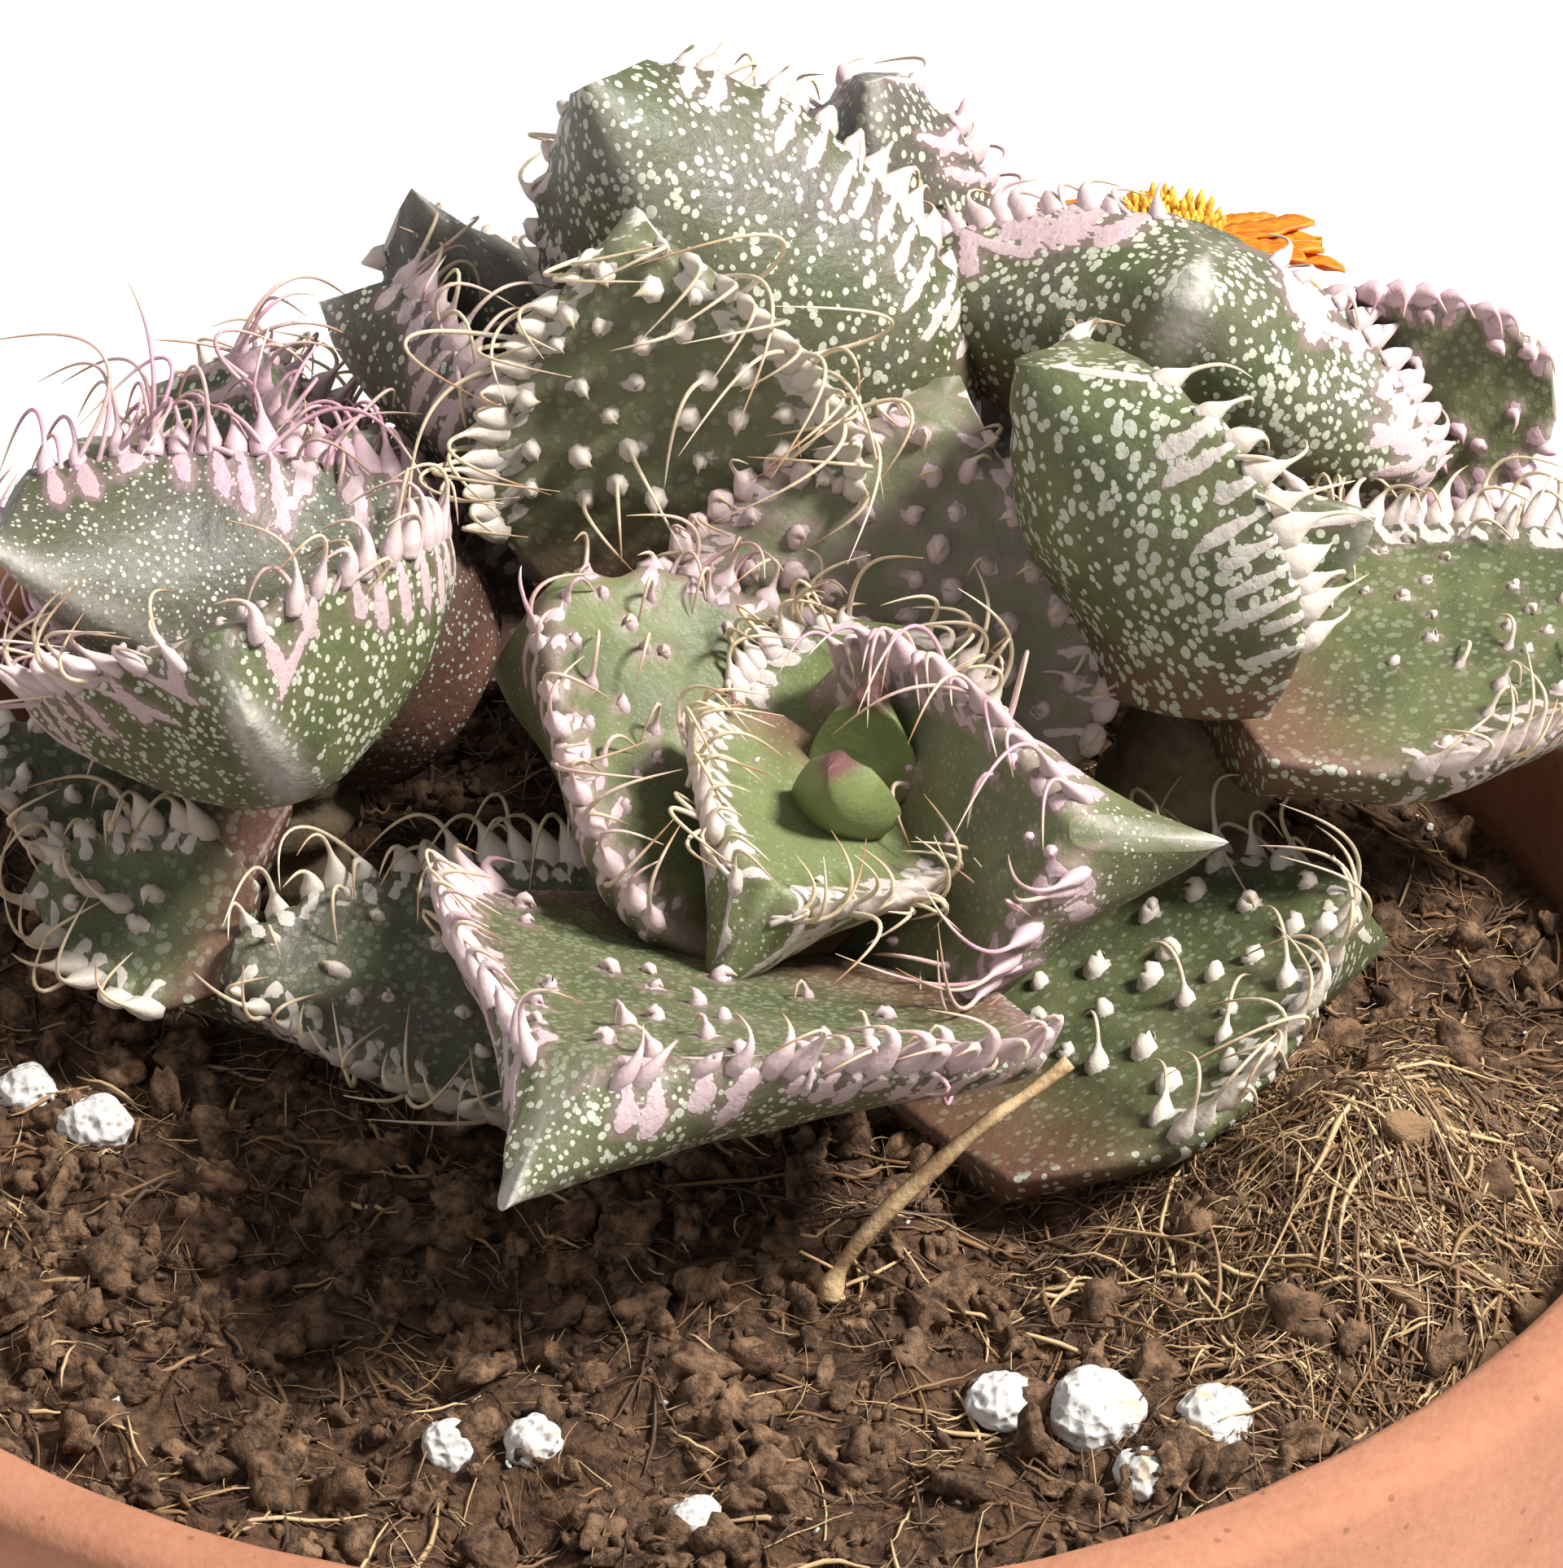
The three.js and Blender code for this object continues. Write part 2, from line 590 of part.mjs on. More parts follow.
// A tooth stays only where it is clear of every other leaf and of the teeth already kept.
const keptTeeth = [];
for (const own of leaves) {
  const neighbours = [...leaves, ...keptTeeth].filter((other) => other.name !== own.name);
  const around = [...flowerRoom, ...neighbours.map((other) => other.grown)];
  for (const tooth of toothSolids(own.leaf)) {
    if (!isClear(tooth.body, around)) continue;
    own.solid = cutBy(own.solid.add(tooth.body), []);
    keptTeeth.push({ name: own.name, grown: tooth.grown });
  }
  addPart(`leaf_${own.name}`, geometryFrom(own.solid), "leaf", 0.55);
}
taken.push(...keptTeeth.map((kept) => kept.grown));

for (const [name, stem] of Object.entries(STEMS)) {
  const solid = cutBy(solidFrom(stemGeometry(stem, 0)), taken);
  addPart(name, geometryFrom(solid), "stem", 0.9);
  taken.push(solidFrom(stemGeometry(stem, LEAF_GAP)));
}

const straw = cutBy(solidFrom(strawGeometry(STRAW.radius)), taken);
addPart("straw_stalk", geometryFrom(straw), "straw", 0.9);
taken.push(solidFrom(strawGeometry(STRAW.radius + LEAF_GAP)));

PERLITE.forEach((grain, index) => {
  const solid = cutBy(solidFrom(perliteGeometry(grain, index, 0)), taken);
  addPart(`perlite_${index + 1}`, geometryFrom(solid), "perlite", 0.95);
  taken.push(solidFrom(perliteGeometry(grain, index, LEAF_GAP)));
});

addPart("soil", geometryFrom(cutBy(solidFrom(soilGeometry()), taken)), "peat", 0.95);

export default part;
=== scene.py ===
"""Looks for the potted tiger-jaws succulent: spotted, toothed leaves, peat, perlite, clay pot and flower.

Lengths are in millimetres until a mesh is written, which is where MM turns them into metres.
"""

import math

import bpy
import numpy as np
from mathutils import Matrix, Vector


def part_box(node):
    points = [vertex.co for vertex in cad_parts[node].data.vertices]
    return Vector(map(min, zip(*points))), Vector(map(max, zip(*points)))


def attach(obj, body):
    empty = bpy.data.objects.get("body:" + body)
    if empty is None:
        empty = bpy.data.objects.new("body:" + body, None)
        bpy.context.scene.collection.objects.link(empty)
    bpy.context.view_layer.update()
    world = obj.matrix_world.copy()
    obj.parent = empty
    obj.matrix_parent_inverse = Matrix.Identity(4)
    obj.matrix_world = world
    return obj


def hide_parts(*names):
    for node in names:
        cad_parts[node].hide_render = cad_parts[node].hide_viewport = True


MM = 0.001
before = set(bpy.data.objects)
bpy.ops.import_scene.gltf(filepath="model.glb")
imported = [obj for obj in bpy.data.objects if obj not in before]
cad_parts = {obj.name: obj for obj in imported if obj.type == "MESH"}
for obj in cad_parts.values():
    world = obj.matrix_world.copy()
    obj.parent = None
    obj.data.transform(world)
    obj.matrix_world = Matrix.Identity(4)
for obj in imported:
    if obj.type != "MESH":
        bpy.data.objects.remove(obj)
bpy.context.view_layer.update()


def box_mm(node):
    """Lowest and highest corner of a CAD node, in millimetres."""
    low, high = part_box(node)
    return np.array(low) / MM, np.array(high) / MM


POT_LOW, POT_HIGH = box_mm("pot")
POT_HEIGHT = POT_HIGH[2]
RIM_RADIUS = (POT_HIGH[0] - POT_LOW[0]) / 2


def leaf_of(base, heading, rise, roll, length, width, depth, curl, teeth, **shape):
    """Design values of one leaf, with the usual shape where the leaf has none of its own."""
    usual = {"lead": 0.1, "belly": 0, "tip": 1.0, "bluntness": 1.45, "round": 0.8}
    own = dict(base=base, heading=heading, rise=rise, roll=roll, length=length, width=width, depth=depth)
    return {**usual, **own, "curl": curl, "teeth": teeth, **shape}


# Leaves as the CAD part has them: base from the centre of the pot's mouth, heading counterclockwise
# from +X, rise from level, roll about the leaf's length, length, width, depth, curl up along it and
# teeth along each margin. `lead` is how far the keel runs beyond the tip, as a share of the length.
LEAVES = {
    "bud_left": leaf_of((9.5, -2, 10.5), -106, 55, 0, 7, 6.5, 3.5, 30, 0, round=0.6),
    "bud_right": leaf_of((9.8, -0.8, 10.7), 75, 62, 0, 6.5, 6.5, 3, 30, 0, round=0.6),
    "front_1a": leaf_of((9.5, 2.5, 12), -106, 5, -25, 15.5, 16, 9, -5, 5, lead=0.25, round=0.7),
    "front_1b": leaf_of((9.5, 3.5, 11), 75, 30, 0, 9, 15, 6, 7, 3, lead=0.14, round=0.6),
    "front_2a": leaf_of((11, -2, 4.5), 148, 41, -1, 27, 28, 12, -10, 7, lead=0, round=0.85),
    "front_2b": leaf_of((4.5, 2.5, 3), -42, 33, 60, 25, 25, 12, -10, 9, lead=0.2, round=0.85),
    "front_3a": leaf_of((8.5, -6, 5), -120, 24, 2, 30, 36, 8.5, -10, 12, lead=0.3, round=0.85),
    "front_3b": leaf_of((9, 7, 7), 68, 47, 18, 22.5, 27.5, 12, 7, 8, lead=0.2, round=0.75),
    "front_4a": leaf_of((0.5, 18, 12), 159, 80, -73, 24, 22, 7, 1, 10, lead=0, round=0.75),
    "front_4b": leaf_of((13.5, -9.5, -4.5), 33, 17, -8, 29.5, 29, 9, -4, 9, round=0.75),
    "front_5a": leaf_of((2.5, -3.5, -1), 175, 4, -27, 29, 17.5, 10, 3, 9, round=0.7),
    "right_1": leaf_of(
        (29.5, 12, 11), 103, 76, 105, 21.5, 26.5, 11.5, -21, 8, lead=0.2, tip=0.7, bluntness=2.2,
        round=0.5,
    ),
    "right_2": leaf_of((30.5, 9.5, 12), 20, 5, 6, 27.5, 23, 12, -2, 10, round=0.6),
    "right_3": leaf_of((26.5, 31.5, 15), 34, 67, 225, 15, 34, 11.5, -12, 9, round=0.7),
    "right_4": leaf_of(
        (33.5, 31.5, 17), 1, 5, 84, 18, 15, 7, 6, 6, lead=0, tip=0.5, bluntness=2.2, round=0.55,
    ),
    "right_5a": leaf_of((27, 18, 9), 170, 62, 0, 12, 11, 6, 8, 3),
    "right_5b": leaf_of((30, 19, 9), -10, 62, 0, 12, 11, 6, 8, 3),
    "back_1": leaf_of(
        (11, 30, 9.5), 157, 60, 111, 33.5, 23.5, 12, -4, 11, tip=0.8, bluntness=2, round=0.55,
    ),
    "back_2": leaf_of((-5, 36, 10), 158, 46, 150, 20, 16, 9, 3, 6),
    "back_3": leaf_of((12, 42, 12.5), 100, 82, 163, 21, 15.5, 9, 3, 6, round=0.6),
    "back_4": leaf_of((2, 34, 9), 95, 48, 0, 20, 19, 10, 10, 6),
    "back_5": leaf_of((4, 33, 4), 128, 22, 0, 26, 20, 10, 8, 7, lead=0.12),
    "back_6": leaf_of((9, 33, 4), 68, 24, 0, 25, 19, 10, 8, 7, lead=0.12),
    "left_1a": leaf_of((-25, 23, 11), 20, 60, 10, 10, 9, 5, 8, 3),
    "left_1b": leaf_of((-27, 24, 10), 175, 62, -5, 11, 10, 5, 8, 3),
    "left_2a": leaf_of((-24.5, 14, 14.5), -95, 33, 24, 23, 25.5, 9, -10, 8, lead=0, belly=5, tip=0.75),
    "left_2b": leaf_of((-25, 26, 6), 96, 36, 0, 18, 18, 9, 8, 6),
    "left_3a": leaf_of((-15, 22, 4.5), 198, 36, 80, 30, 23, 12, 8, 11),
    "left_3b": leaf_of((-14, 20, 9), 136, 38, 40, 21, 18, 9, 4, 8),
    "left_3c": leaf_of((-6, 25, 14), 140, 42, 45, 18, 17, 8, 4, 7),
    "left_4": leaf_of((-25, 0.5, 1), 163, 8, -40, 13, 11, 6.5, 5, 4, round=0.7),
    "left_5": leaf_of((-24, 6, 3), 158, 12, -25, 18, 13, 8, 5, 5),
    "left_6": leaf_of((-14, 24, 3), 120, 25, 0, 21, 18, 9, 5, 6),
}

# What each leaf's look says: purple tint, pinkness of teeth, bristle length in mm, number and size of
# warts on the upper face, white keel stripe, how strongly the underside is spotted, tooth length in mm,
# how young (bright green) and pale it is, how much painted shade darkens it (dark, strongest on the low
# and back leaves), how fine its flecks are, its loose hairs, and how many teeth it has for each one of
# the CAD leaf.
USUAL_LOOK = dict(purple=0.4, pink=0.4, bristle=4, warts=12, wart=0.4, keel=0.5, spots=0.9, tooth=2.0,
                  young=0, dark=0.15, pale=0.1, fine=1.1, hairs=6, more=1.4)
LOOKS = {
    "bud_left": dict(purple=0, bristle=0, warts=0, keel=0, spots=0.1, young=1, dark=0, hairs=0),
    "bud_right": dict(purple=0.1, bristle=0, warts=0, keel=0, spots=0.1, young=1, dark=0, hairs=0),
    "front_1a": dict(purple=0, pink=0.25, bristle=5, warts=3, wart=0.25, keel=0.3, spots=0.6, tooth=1.3,
                     young=0.6, dark=0, pale=0.2, fine=2.2, hairs=22, more=2.4),
    "front_1b": dict(purple=0, pink=0.25, bristle=5, warts=3, wart=0.25, keel=0.2, spots=0.5, tooth=1.2,
                     young=0.7, dark=0, fine=2.2, hairs=18, more=2.6),
    "front_2a": dict(purple=0.1, pink=0.7, bristle=5, warts=26, wart=0.36, keel=0.6, spots=0.4,
                     tooth=0.9, young=0.1, dark=0, pale=0.15, fine=2.0, hairs=10),
    "front_2b": dict(purple=0.25, pink=0.8, bristle=7, wart=0.35, keel=0.9, spots=0.65, tooth=2.6,
                     dark=0, pale=0.4, fine=2.0, hairs=7),
    "front_3a": dict(purple=0.35, pink=0.65, bristle=2.5, warts=26, wart=0.5, keel=1.1, spots=1.05,
                     tooth=2.8, fine=1.8, more=1.5, hairs=5),
    "front_3b": dict(purple=0.5, pink=0.6, bristle=2, warts=44, wart=0.6, keel=0.6, spots=0.35,
                     tooth=1.0, dark=0, pale=0.5, fine=2.0, hairs=8),
    "front_4a": dict(purple=0.15, pink=0.1, bristle=9, warts=46, wart=0.62, keel=0.7, spots=0.8,
                     tooth=2.2, pale=0.5, hairs=16),
    "front_4b": dict(purple=0.25, pink=0.05, bristle=7, warts=30, wart=0.6, keel=0.2, spots=0.8,
                     dark=0.35, fine=1.3, hairs=12),
    "front_5a": dict(purple=0.5, pink=0.1, bristle=6, warts=18, wart=0.45, keel=0.2, spots=1.0,
                     dark=0.5, fine=1.5, hairs=10),
    "left_2a": dict(purple=0.3, pink=0.6, bristle=5, keel=1.1, spots=1.0, tooth=2.4, fine=1.7),
    "left_3a": dict(purple=0.6, pink=0.9, bristle=8, spots=0.7, dark=0.3, hairs=26, fine=2.2),
    "left_3b": dict(purple=0.6, pink=0.9, bristle=7, dark=0.3, hairs=16, fine=1.5),
    "left_3c": dict(purple=0.75, pink=0.6, bristle=6, dark=0.3, hairs=10, fine=1.5),
    "left_4": dict(purple=0.2, pink=0.1, bristle=5, warts=5, wart=0.5, dark=0.3),
    "left_5": dict(purple=0.5, pink=0.1, bristle=3, dark=0.8),
    "left_6": dict(purple=0.7, bristle=6, dark=0.7),
    "right_1": dict(purple=0.05, pink=0.15, bristle=3, keel=0, spots=1.1, tooth=1.9, pale=0.15,
                    fine=1.3, more=1.2),
    "right_2": dict(purple=0.25, pink=0.35, keel=0.1, spots=0.85, warts=30, wart=0.35, pale=0.05,
                    fine=1.3, more=1.6),
    "right_3": dict(purple=0.45, pink=0.65, bristle=3, keel=1.0, spots=1.1, tooth=2.2, fine=1.5),
    "right_4": dict(purple=0.05, pink=0.85, bristle=1, keel=0.2, spots=1.0, tooth=1.3, pale=0.2,
                    fine=1.6, hairs=0),
    "back_1": dict(purple=0.55, pink=0.3, keel=0.2, spots=0.95, fine=1.4, more=1.2),
    "back_2": dict(purple=0.9, pink=0.3, bristle=3, keel=0.3, spots=0.5, dark=0.7),
    "back_3": dict(purple=0.8, pink=0.7, keel=0.4, spots=1.0, dark=0.2, fine=1.5),
    "back_5": dict(purple=0.8, dark=0.6),
    "back_6": dict(purple=0.8, dark=0.6),
}

BASE_WIDTH_SHARE = 0.6
WIDEST_AT = 0.36
BASE_DEPTH_SHARE = 0.5
DEEPEST_AT = 0.85
TIP_THINS_FROM = 0.5
LEAD_FROM = 0.45


def smooth(value):
    """Smooth step from 0 to 1."""
    value = np.clip(value, 0, 1)
    return value * value * (3 - 2 * value)


def unit(vectors):
    """Vectors scaled to length one along their last axis."""
    return vectors / (np.linalg.norm(vectors, axis=-1, keepdims=True) + 1e-12)


def value_noise(points, scale, seed):
    """Smooth random values in -1..1 at points (n, 3), with features about `scale` across."""
    cells = points / scale + seed * 17.31
    corner = np.floor(cells).astype(np.int64)
    inside = smooth(cells - corner)
    total = np.zeros(len(points))
    for dx in (0, 1):
        for dy in (0, 1):
            for dz in (0, 1):
                code = (
                    corner[:, 0] + dx
                ) * 73856093 ^ (corner[:, 1] + dy) * 19349663 ^ (corner[:, 2] + dz) * 83492791
                code = (code ^ (code >> 13)) * 1274126177
                code = (code ^ (code >> 16)) & 0xFFFF
                share = np.where(dx, inside[:, 0], 1 - inside[:, 0])
                share = share * np.where(dy, inside[:, 1], 1 - inside[:, 1])
                share = share * np.where(dz, inside[:, 2], 1 - inside[:, 2])
                total += share * (code / 32767.5 - 1)
    return total


def rough_noise(points, scale, seed, octaves=4):
    """Sum of finer and finer value noise."""
    total = np.zeros(len(points))
    for octave in range(octaves):
        total += value_noise(points, scale / 2**octave, seed + octave) / 2**octave
    return total


class Skin:
    """Collects vertices, faces and per-vertex values of one object."""

    def __init__(self):
        self.points, self.faces, self.values, self.count = [], [], {}, 0

    def add(self, points, faces, **values):
        """Adds vertices (n, 3), faces as index rows of one length, and a value or array for each name."""
        points = np.asarray(points, float)
        self.faces.append(np.asarray(faces, int) + self.count)
        self.points.append(points)
        for name, value in values.items():
            self.values.setdefault(name, []).append(
                np.broadcast_to(np.asarray(value, float), (len(points),))
            )
        self.count += len(points)

    def add_caps(self, first, rings, around, flip):
        """Closes a stack of rings whose two end centres come right after it."""
        last = first + rings * around
        self.faces.append(fan_faces(first, around, last, flip))
        self.faces.append(fan_faces(last - around, around, last + 1, not flip))

    def build(self, name, material):
        """Writes the mesh object, in metres."""
        points = np.concatenate(self.points) * MM
        loops = np.concatenate([rows.ravel() for rows in self.faces])
        sizes = np.concatenate([np.full(len(rows), rows.shape[1]) for rows in self.faces])
        mesh = bpy.data.meshes.new(name)
        mesh.vertices.add(len(points))
        mesh.vertices.foreach_set("co", points.astype(np.float32).ravel())
        mesh.loops.add(len(loops))
        mesh.loops.foreach_set("vertex_index", loops.astype(np.int32))
        mesh.polygons.add(len(sizes))
        starts = np.concatenate([[0], np.cumsum(sizes)[:-1]])
        mesh.polygons.foreach_set("loop_start", starts.astype(np.int32))
        mesh.polygons.foreach_set("use_smooth", np.full(len(sizes), True))
        mesh.update(calc_edges=True)
        for value_name, arrays in self.values.items():
            attribute = mesh.attributes.new(value_name, "FLOAT", "POINT")
            attribute.data.foreach_set("value", np.concatenate(arrays).astype(np.float32))
        mesh.materials.append(material)
        mesh.validate()
        piece = bpy.data.objects.new(name, mesh)
        bpy.context.scene.collection.objects.link(piece)
        return piece


def turned(radius, angle, height):
    """Points at a radius and height round the pot's axis, for arrays that broadcast together."""
    return np.stack(np.broadcast_arrays(radius * np.cos(angle), radius * np.sin(angle), height), axis=-1)


def ring_faces(rings, around):
    """Quads between successive closed rings of `around` points."""
    i, j = np.meshgrid(np.arange(rings - 1), np.arange(around), indexing="ij")
    a = (i * around + j).ravel()
    b = (i * around + (j + 1) % around).ravel()
    return np.stack([a, b, b + around, a + around], axis=1)


def fan_faces(first, around, centre, flip):
    """Triangles from a ring to a centre point."""
    j = np.arange(around)
    a, b = first + j, first + (j + 1) % around
    rows = [a, b, np.full(around, centre)] if not flip else [b, a, np.full(around, centre)]
    return np.stack(rows, axis=1)


def add_tube(skin, path, radii, sides=6, wide=None, wide_share=1.0, **values):
    """A closed tube along `path` (n, 3) with a radius at each point, wider along `wide` at its foot."""
    path = np.asarray(path, float)
    rings = len(path)
    along = unit(np.gradient(path, axis=0))
    reference = np.asarray(wide if wide is not None else (0.31, 0.17, 0.93), float)
    first = unit(reference - along * (along @ reference)[:, None])
    second = np.cross(along, first)
    angles = np.arange(sides) * 2 * np.pi / sides
    widen = np.broadcast_to(wide_share, (rings,))
    offsets = (
        first[:, None, :] * (np.cos(angles)[None, :, None] * (radii * widen)[:, None, None])
        + second[:, None, :] * (np.sin(angles)[None, :, None] * radii[:, None, None])
    )
    points = (path[:, None, :] + offsets).reshape(-1, 3)
    points = np.concatenate([points, path[:1], path[-1:]])
    spread = {}
    for name, value in values.items():
        value = np.broadcast_to(np.asarray(value, float), (rings,))
        spread[name] = np.concatenate([np.repeat(value, sides), value[:1], value[-1:]])
    skin.add_caps(skin.count, rings, sides, True)
    skin.add(points, ring_faces(rings, sides), **spread)


# ---- leaves ----
def half_width(leaf, s):
    """Half the distance between the margins at share s of the length."""
    rising = BASE_WIDTH_SHARE + (1 - BASE_WIDTH_SHARE) * np.sin(np.pi / 2 * np.clip(s / WIDEST_AT, 0, 1))
    beyond = np.clip((s - WIDEST_AT) / (1 - WIDEST_AT), 0, 1)
    falling = (1 - beyond ** leaf["bluntness"]) ** leaf["round"]
    return leaf["width"] / 2 * np.where(s < WIDEST_AT, rising, falling)


def keel_depth(leaf, s):
    """Depth of the keel below the upper face."""
    growing = BASE_DEPTH_SHARE + (1 - BASE_DEPTH_SHARE) * smooth(s / DEEPEST_AT)
    thinning = 1 - (1 - leaf["tip"]) * smooth((s - TIP_THINS_FROM) / (1 - TIP_THINS_FROM))
    return leaf["depth"] * growing * thinning + leaf["belly"] * np.sin(np.pi * s) ** 2


def axes_of(leaf):
    """The leaf's own directions on the plant: along, across and up from its upper face."""
    heading, rise, roll = (math.radians(leaf[name]) for name in ("heading", "rise", "roll"))
    along = np.array(
        [math.cos(rise) * math.cos(heading), math.cos(rise) * math.sin(heading), math.sin(rise)]
    )
    level = np.array([-math.sin(heading), math.cos(heading), 0.0])
    upward = np.cross(along, level)
    across = level * math.cos(roll) + upward * math.sin(roll)
    return along, across, np.cross(along, across)


def place(leaf, x, y, z):
    """A leaf's own x (along), y (across) and z (up) as places in the part, curl and turns included."""
    along, across, upward = axes_of(leaf)
    bend = math.radians(leaf["curl"]) + 1e-9
    bent = bend * x / leaf["length"]
    forward = leaf["length"] / bend * np.sin(bent) - z * np.sin(bent)
    height = leaf["length"] / bend * (1 - np.cos(bent)) + z * np.cos(bent)
    base = np.array(leaf["base"], float) + [0, 0, POT_HEIGHT]
    return base + forward[
        ..., None,
    ] * along + np.asarray(y)[..., None] * across + height[..., None] * upward


def underside(leaf, s, side):
    """Points on the underside: side is -1 and 1 at the margins and 0 at the keel."""
    roundness = 0.25 + 0.75 * (1 - smooth((s - 0.15) / 0.7))
    out = np.abs(side)
    yy = (1 - roundness) * out + roundness * np.sin(np.pi / 2 * out)
    zz = (1 - roundness) * (1 - out) + roundness * np.cos(np.pi / 2 * out)
    lead = leaf["lead"] * leaf["length"] * smooth((s - LEAD_FROM) / (1 - LEAD_FROM))
    width = np.maximum(half_width(leaf, s), 0.3)
    return place(
        leaf, leaf["length"] * s + lead * zz, np.sign(side) * width * yy, -keel_depth(leaf, s) * zz,
    )


def upper_face(leaf, s, side):
    """Points on the upper face, slightly hollow between the margins."""
    width = np.maximum(half_width(leaf, s), 0.3)
    hollow = -0.06 * width * (1 - side**2)
    return place(leaf, leaf["length"] * s, width * side, hollow)


STATIONS = 64
UNDER = 41
UPPER = 21
CROWDING = 1.15
SMOOTHING_PASSES = 40
KEEL_PASSES = 18
NOSE_FROM = 0.82
NOSE_REACH = 0.16
KEEL_SPREAD = 0.3
KEEL_STRIPE = 1.25
SUNK = 0.9
HAIR_RADIUS = 0.17


def tooth_stations(leaf, look, rng):
    """Where the teeth stand along one margin."""
    count = round(leaf["teeth"] * look["more"])
    places = 0.26 + 0.7 * (np.arange(count) + 0.5) / max(count, 1)
    return places + rng.uniform(-0.2, 0.2, count) * 0.7 / max(count, 1)


def wart_places(leaf, look, rng):
    """Where warts stand on the upper face: share of the length, and -1..1 across."""
    places = []
    for _ in range(60 * look["warts"]):
        if len(places) >= look["warts"]:
            break
        s, side = rng.uniform(0.3, 0.93), rng.uniform(-0.84, 0.84)
        here = np.array([s * leaf["length"], side * half_width(leaf, np.array(s))])
        if all(np.hypot(*(here - there[2])) > 2.9 * look["wart"] + 0.5 for there in places):
            places.append((s, side, here))
    return [(s, side) for s, side, _ in places]


def leaf_stations():
    """Shares of the length, of the underside's half width and of the upper face's, as grid lines."""
    lengthwise = 1 - (1 - np.linspace(0, 1, STATIONS)) ** CROWDING
    return lengthwise, np.linspace(-1, 1, UNDER), np.linspace(1, -1, UPPER + 2)[1:-1]


def soften(grid, s, side, is_upper):
    """Rounds the whole leaf a little, its keel more and its nose most."""
    nose = smooth((s - NOSE_FROM) / NOSE_REACH)[..., None]
    near_keel = np.exp(-((side / KEEL_SPREAD) ** 2)) * smooth((s - 0.2) / 0.4) * (1 - is_upper)
    softness = np.maximum(nose, near_keel[..., None])
    for turn in range(SMOOTHING_PASSES):
        if turn > KEEL_PASSES:
            softness = nose
        share = 0.8 * softness if turn > 2 else 0.3 + 0.5 * softness
        beside = (np.roll(grid, 1, axis=1) + np.roll(grid, -1, axis=1)) / 2
        grid = grid * (1 - share) + beside * share
        ahead = np.concatenate([grid[:1], (grid[:-2] + grid[2:]) / 2, (grid[-1:] + grid[-2:-1]) / 2])
        grid = grid * (1 - share * 0.8) + ahead * share * 0.8
    return grid


def skin_marks(leaf, look, grid, s, side, is_upper, rng):
    """White patches, ridges and keel stripe at each grid point, and the places of teeth and warts."""
    length, width = leaf["length"], half_width(leaf, s)
    steps = np.linalg.norm(np.diff(grid, axis=1), axis=2)
    walked = np.concatenate([np.zeros((STATIONS, 1)), np.cumsum(steps, axis=1)], axis=1)
    middle = np.where(is_upper > 0, walked[:, [UNDER + UPPER // 2]], walked[:, [UNDER // 2]])
    margin = np.where(is_upper > 0, walked[:, [-1]] - walked[:, [UNDER]], walked[:, [UNDER - 1]]) / 2
    inland = np.clip(margin - np.abs(walked - middle), 0, None)
    grown_up = 0 if look["young"] == 1 else 1
    white = grown_up * 0.24 * np.exp(-((inland / 0.6) ** 2))
    ridge = np.zeros_like(s)
    teeth = [(at, sign) for sign in (-1, 1) for at in tooth_stations(leaf, look, rng)]
    for at, sign in teeth:
        facing = (np.sign(side) == sign) & (s > 0.05)
        fade = np.clip(1 - inland / np.where(is_upper > 0, 1.5, rng.uniform(2.5, 6.5)), 0, 1)
        trail = 0.35 * inland * math.copysign(1, rng.uniform(-0.3, 1))
        off = (s - at) * length + trail
        bulge = 0.2 + 0.3 * np.exp(-(((fade - 0.45) / 0.3) ** 2))
        patch = np.exp(-((off / bulge) ** 2)) * smooth(fade * 4)
        white = np.maximum(white, np.where(facing, patch, 0))
        ridge = np.maximum(ridge, np.where(facing, np.exp(-((off / 0.7) ** 2)) * fade, 0))
    warts = wart_places(leaf, look, rng)
    for at, across in warts:
        away = np.hypot((s - at) * length, (side - across) * width) / look["wart"]
        white = np.maximum(white, np.where(is_upper > 0, np.exp(-((away / 1.15) ** 2)), 0))
        swell = 1.5 * look["wart"] * np.exp(-((away / 1.5) ** 2))
        ridge = np.maximum(ridge, np.where(is_upper > 0, swell, 0))
    stripe = np.exp(-(((walked - middle) / KEEL_STRIPE) ** 2)) * smooth((s - 0.4) / 0.35) * (1 - is_upper)
    return white, ridge, look["keel"] * stripe, teeth, warts


def add_spike(skin, rng, wide, tone, foot, direction, bow, size, bristle, stretch):
    """A tooth or wart of `size` (length, foot radius) that thins into a bristle bowed towards `bow`."""
    spike_length, foot_radius = size
    total = spike_length + bristle
    u = np.linspace(0, 1, 8 + int(total * 2.2)) ** 1.15
    run = u * (total + SUNK) - SUNK
    lean = smooth(np.clip(run / max(total, 0.1), 0, 1))[:, None]
    wander = rng.normal(0, 0.35, 3)
    heading = unit(direction * (1 - lean) + (bow + wander) * lean * 1.2)
    steps = np.diff(run, prepend=run[0])
    path = foot + np.cumsum(heading * steps[:, None], axis=0) - direction * SUNK
    left = np.clip(1 - run / spike_length, 0, 1)
    fine = HAIR_RADIUS * np.clip(1 - run / max(total, 0.1), 0, 1) ** 0.55 if bristle > 0 else 0
    radii = np.maximum(np.maximum(foot_radius * left**1.15, fine), 0.025)
    hair = np.clip((run - spike_length * 0.55) / max(total - spike_length * 0.55, 0.1), 0, 1)
    add_tube(
        skin, path, radii, 7, wide=wide, wide_share=1 + (stretch - 1) * left, white=1.0,
        hair=np.maximum(hair, 0.012), spots=0, shade=rng.uniform(), reach=0.7, upper=1, keel=0, **tone,
    )


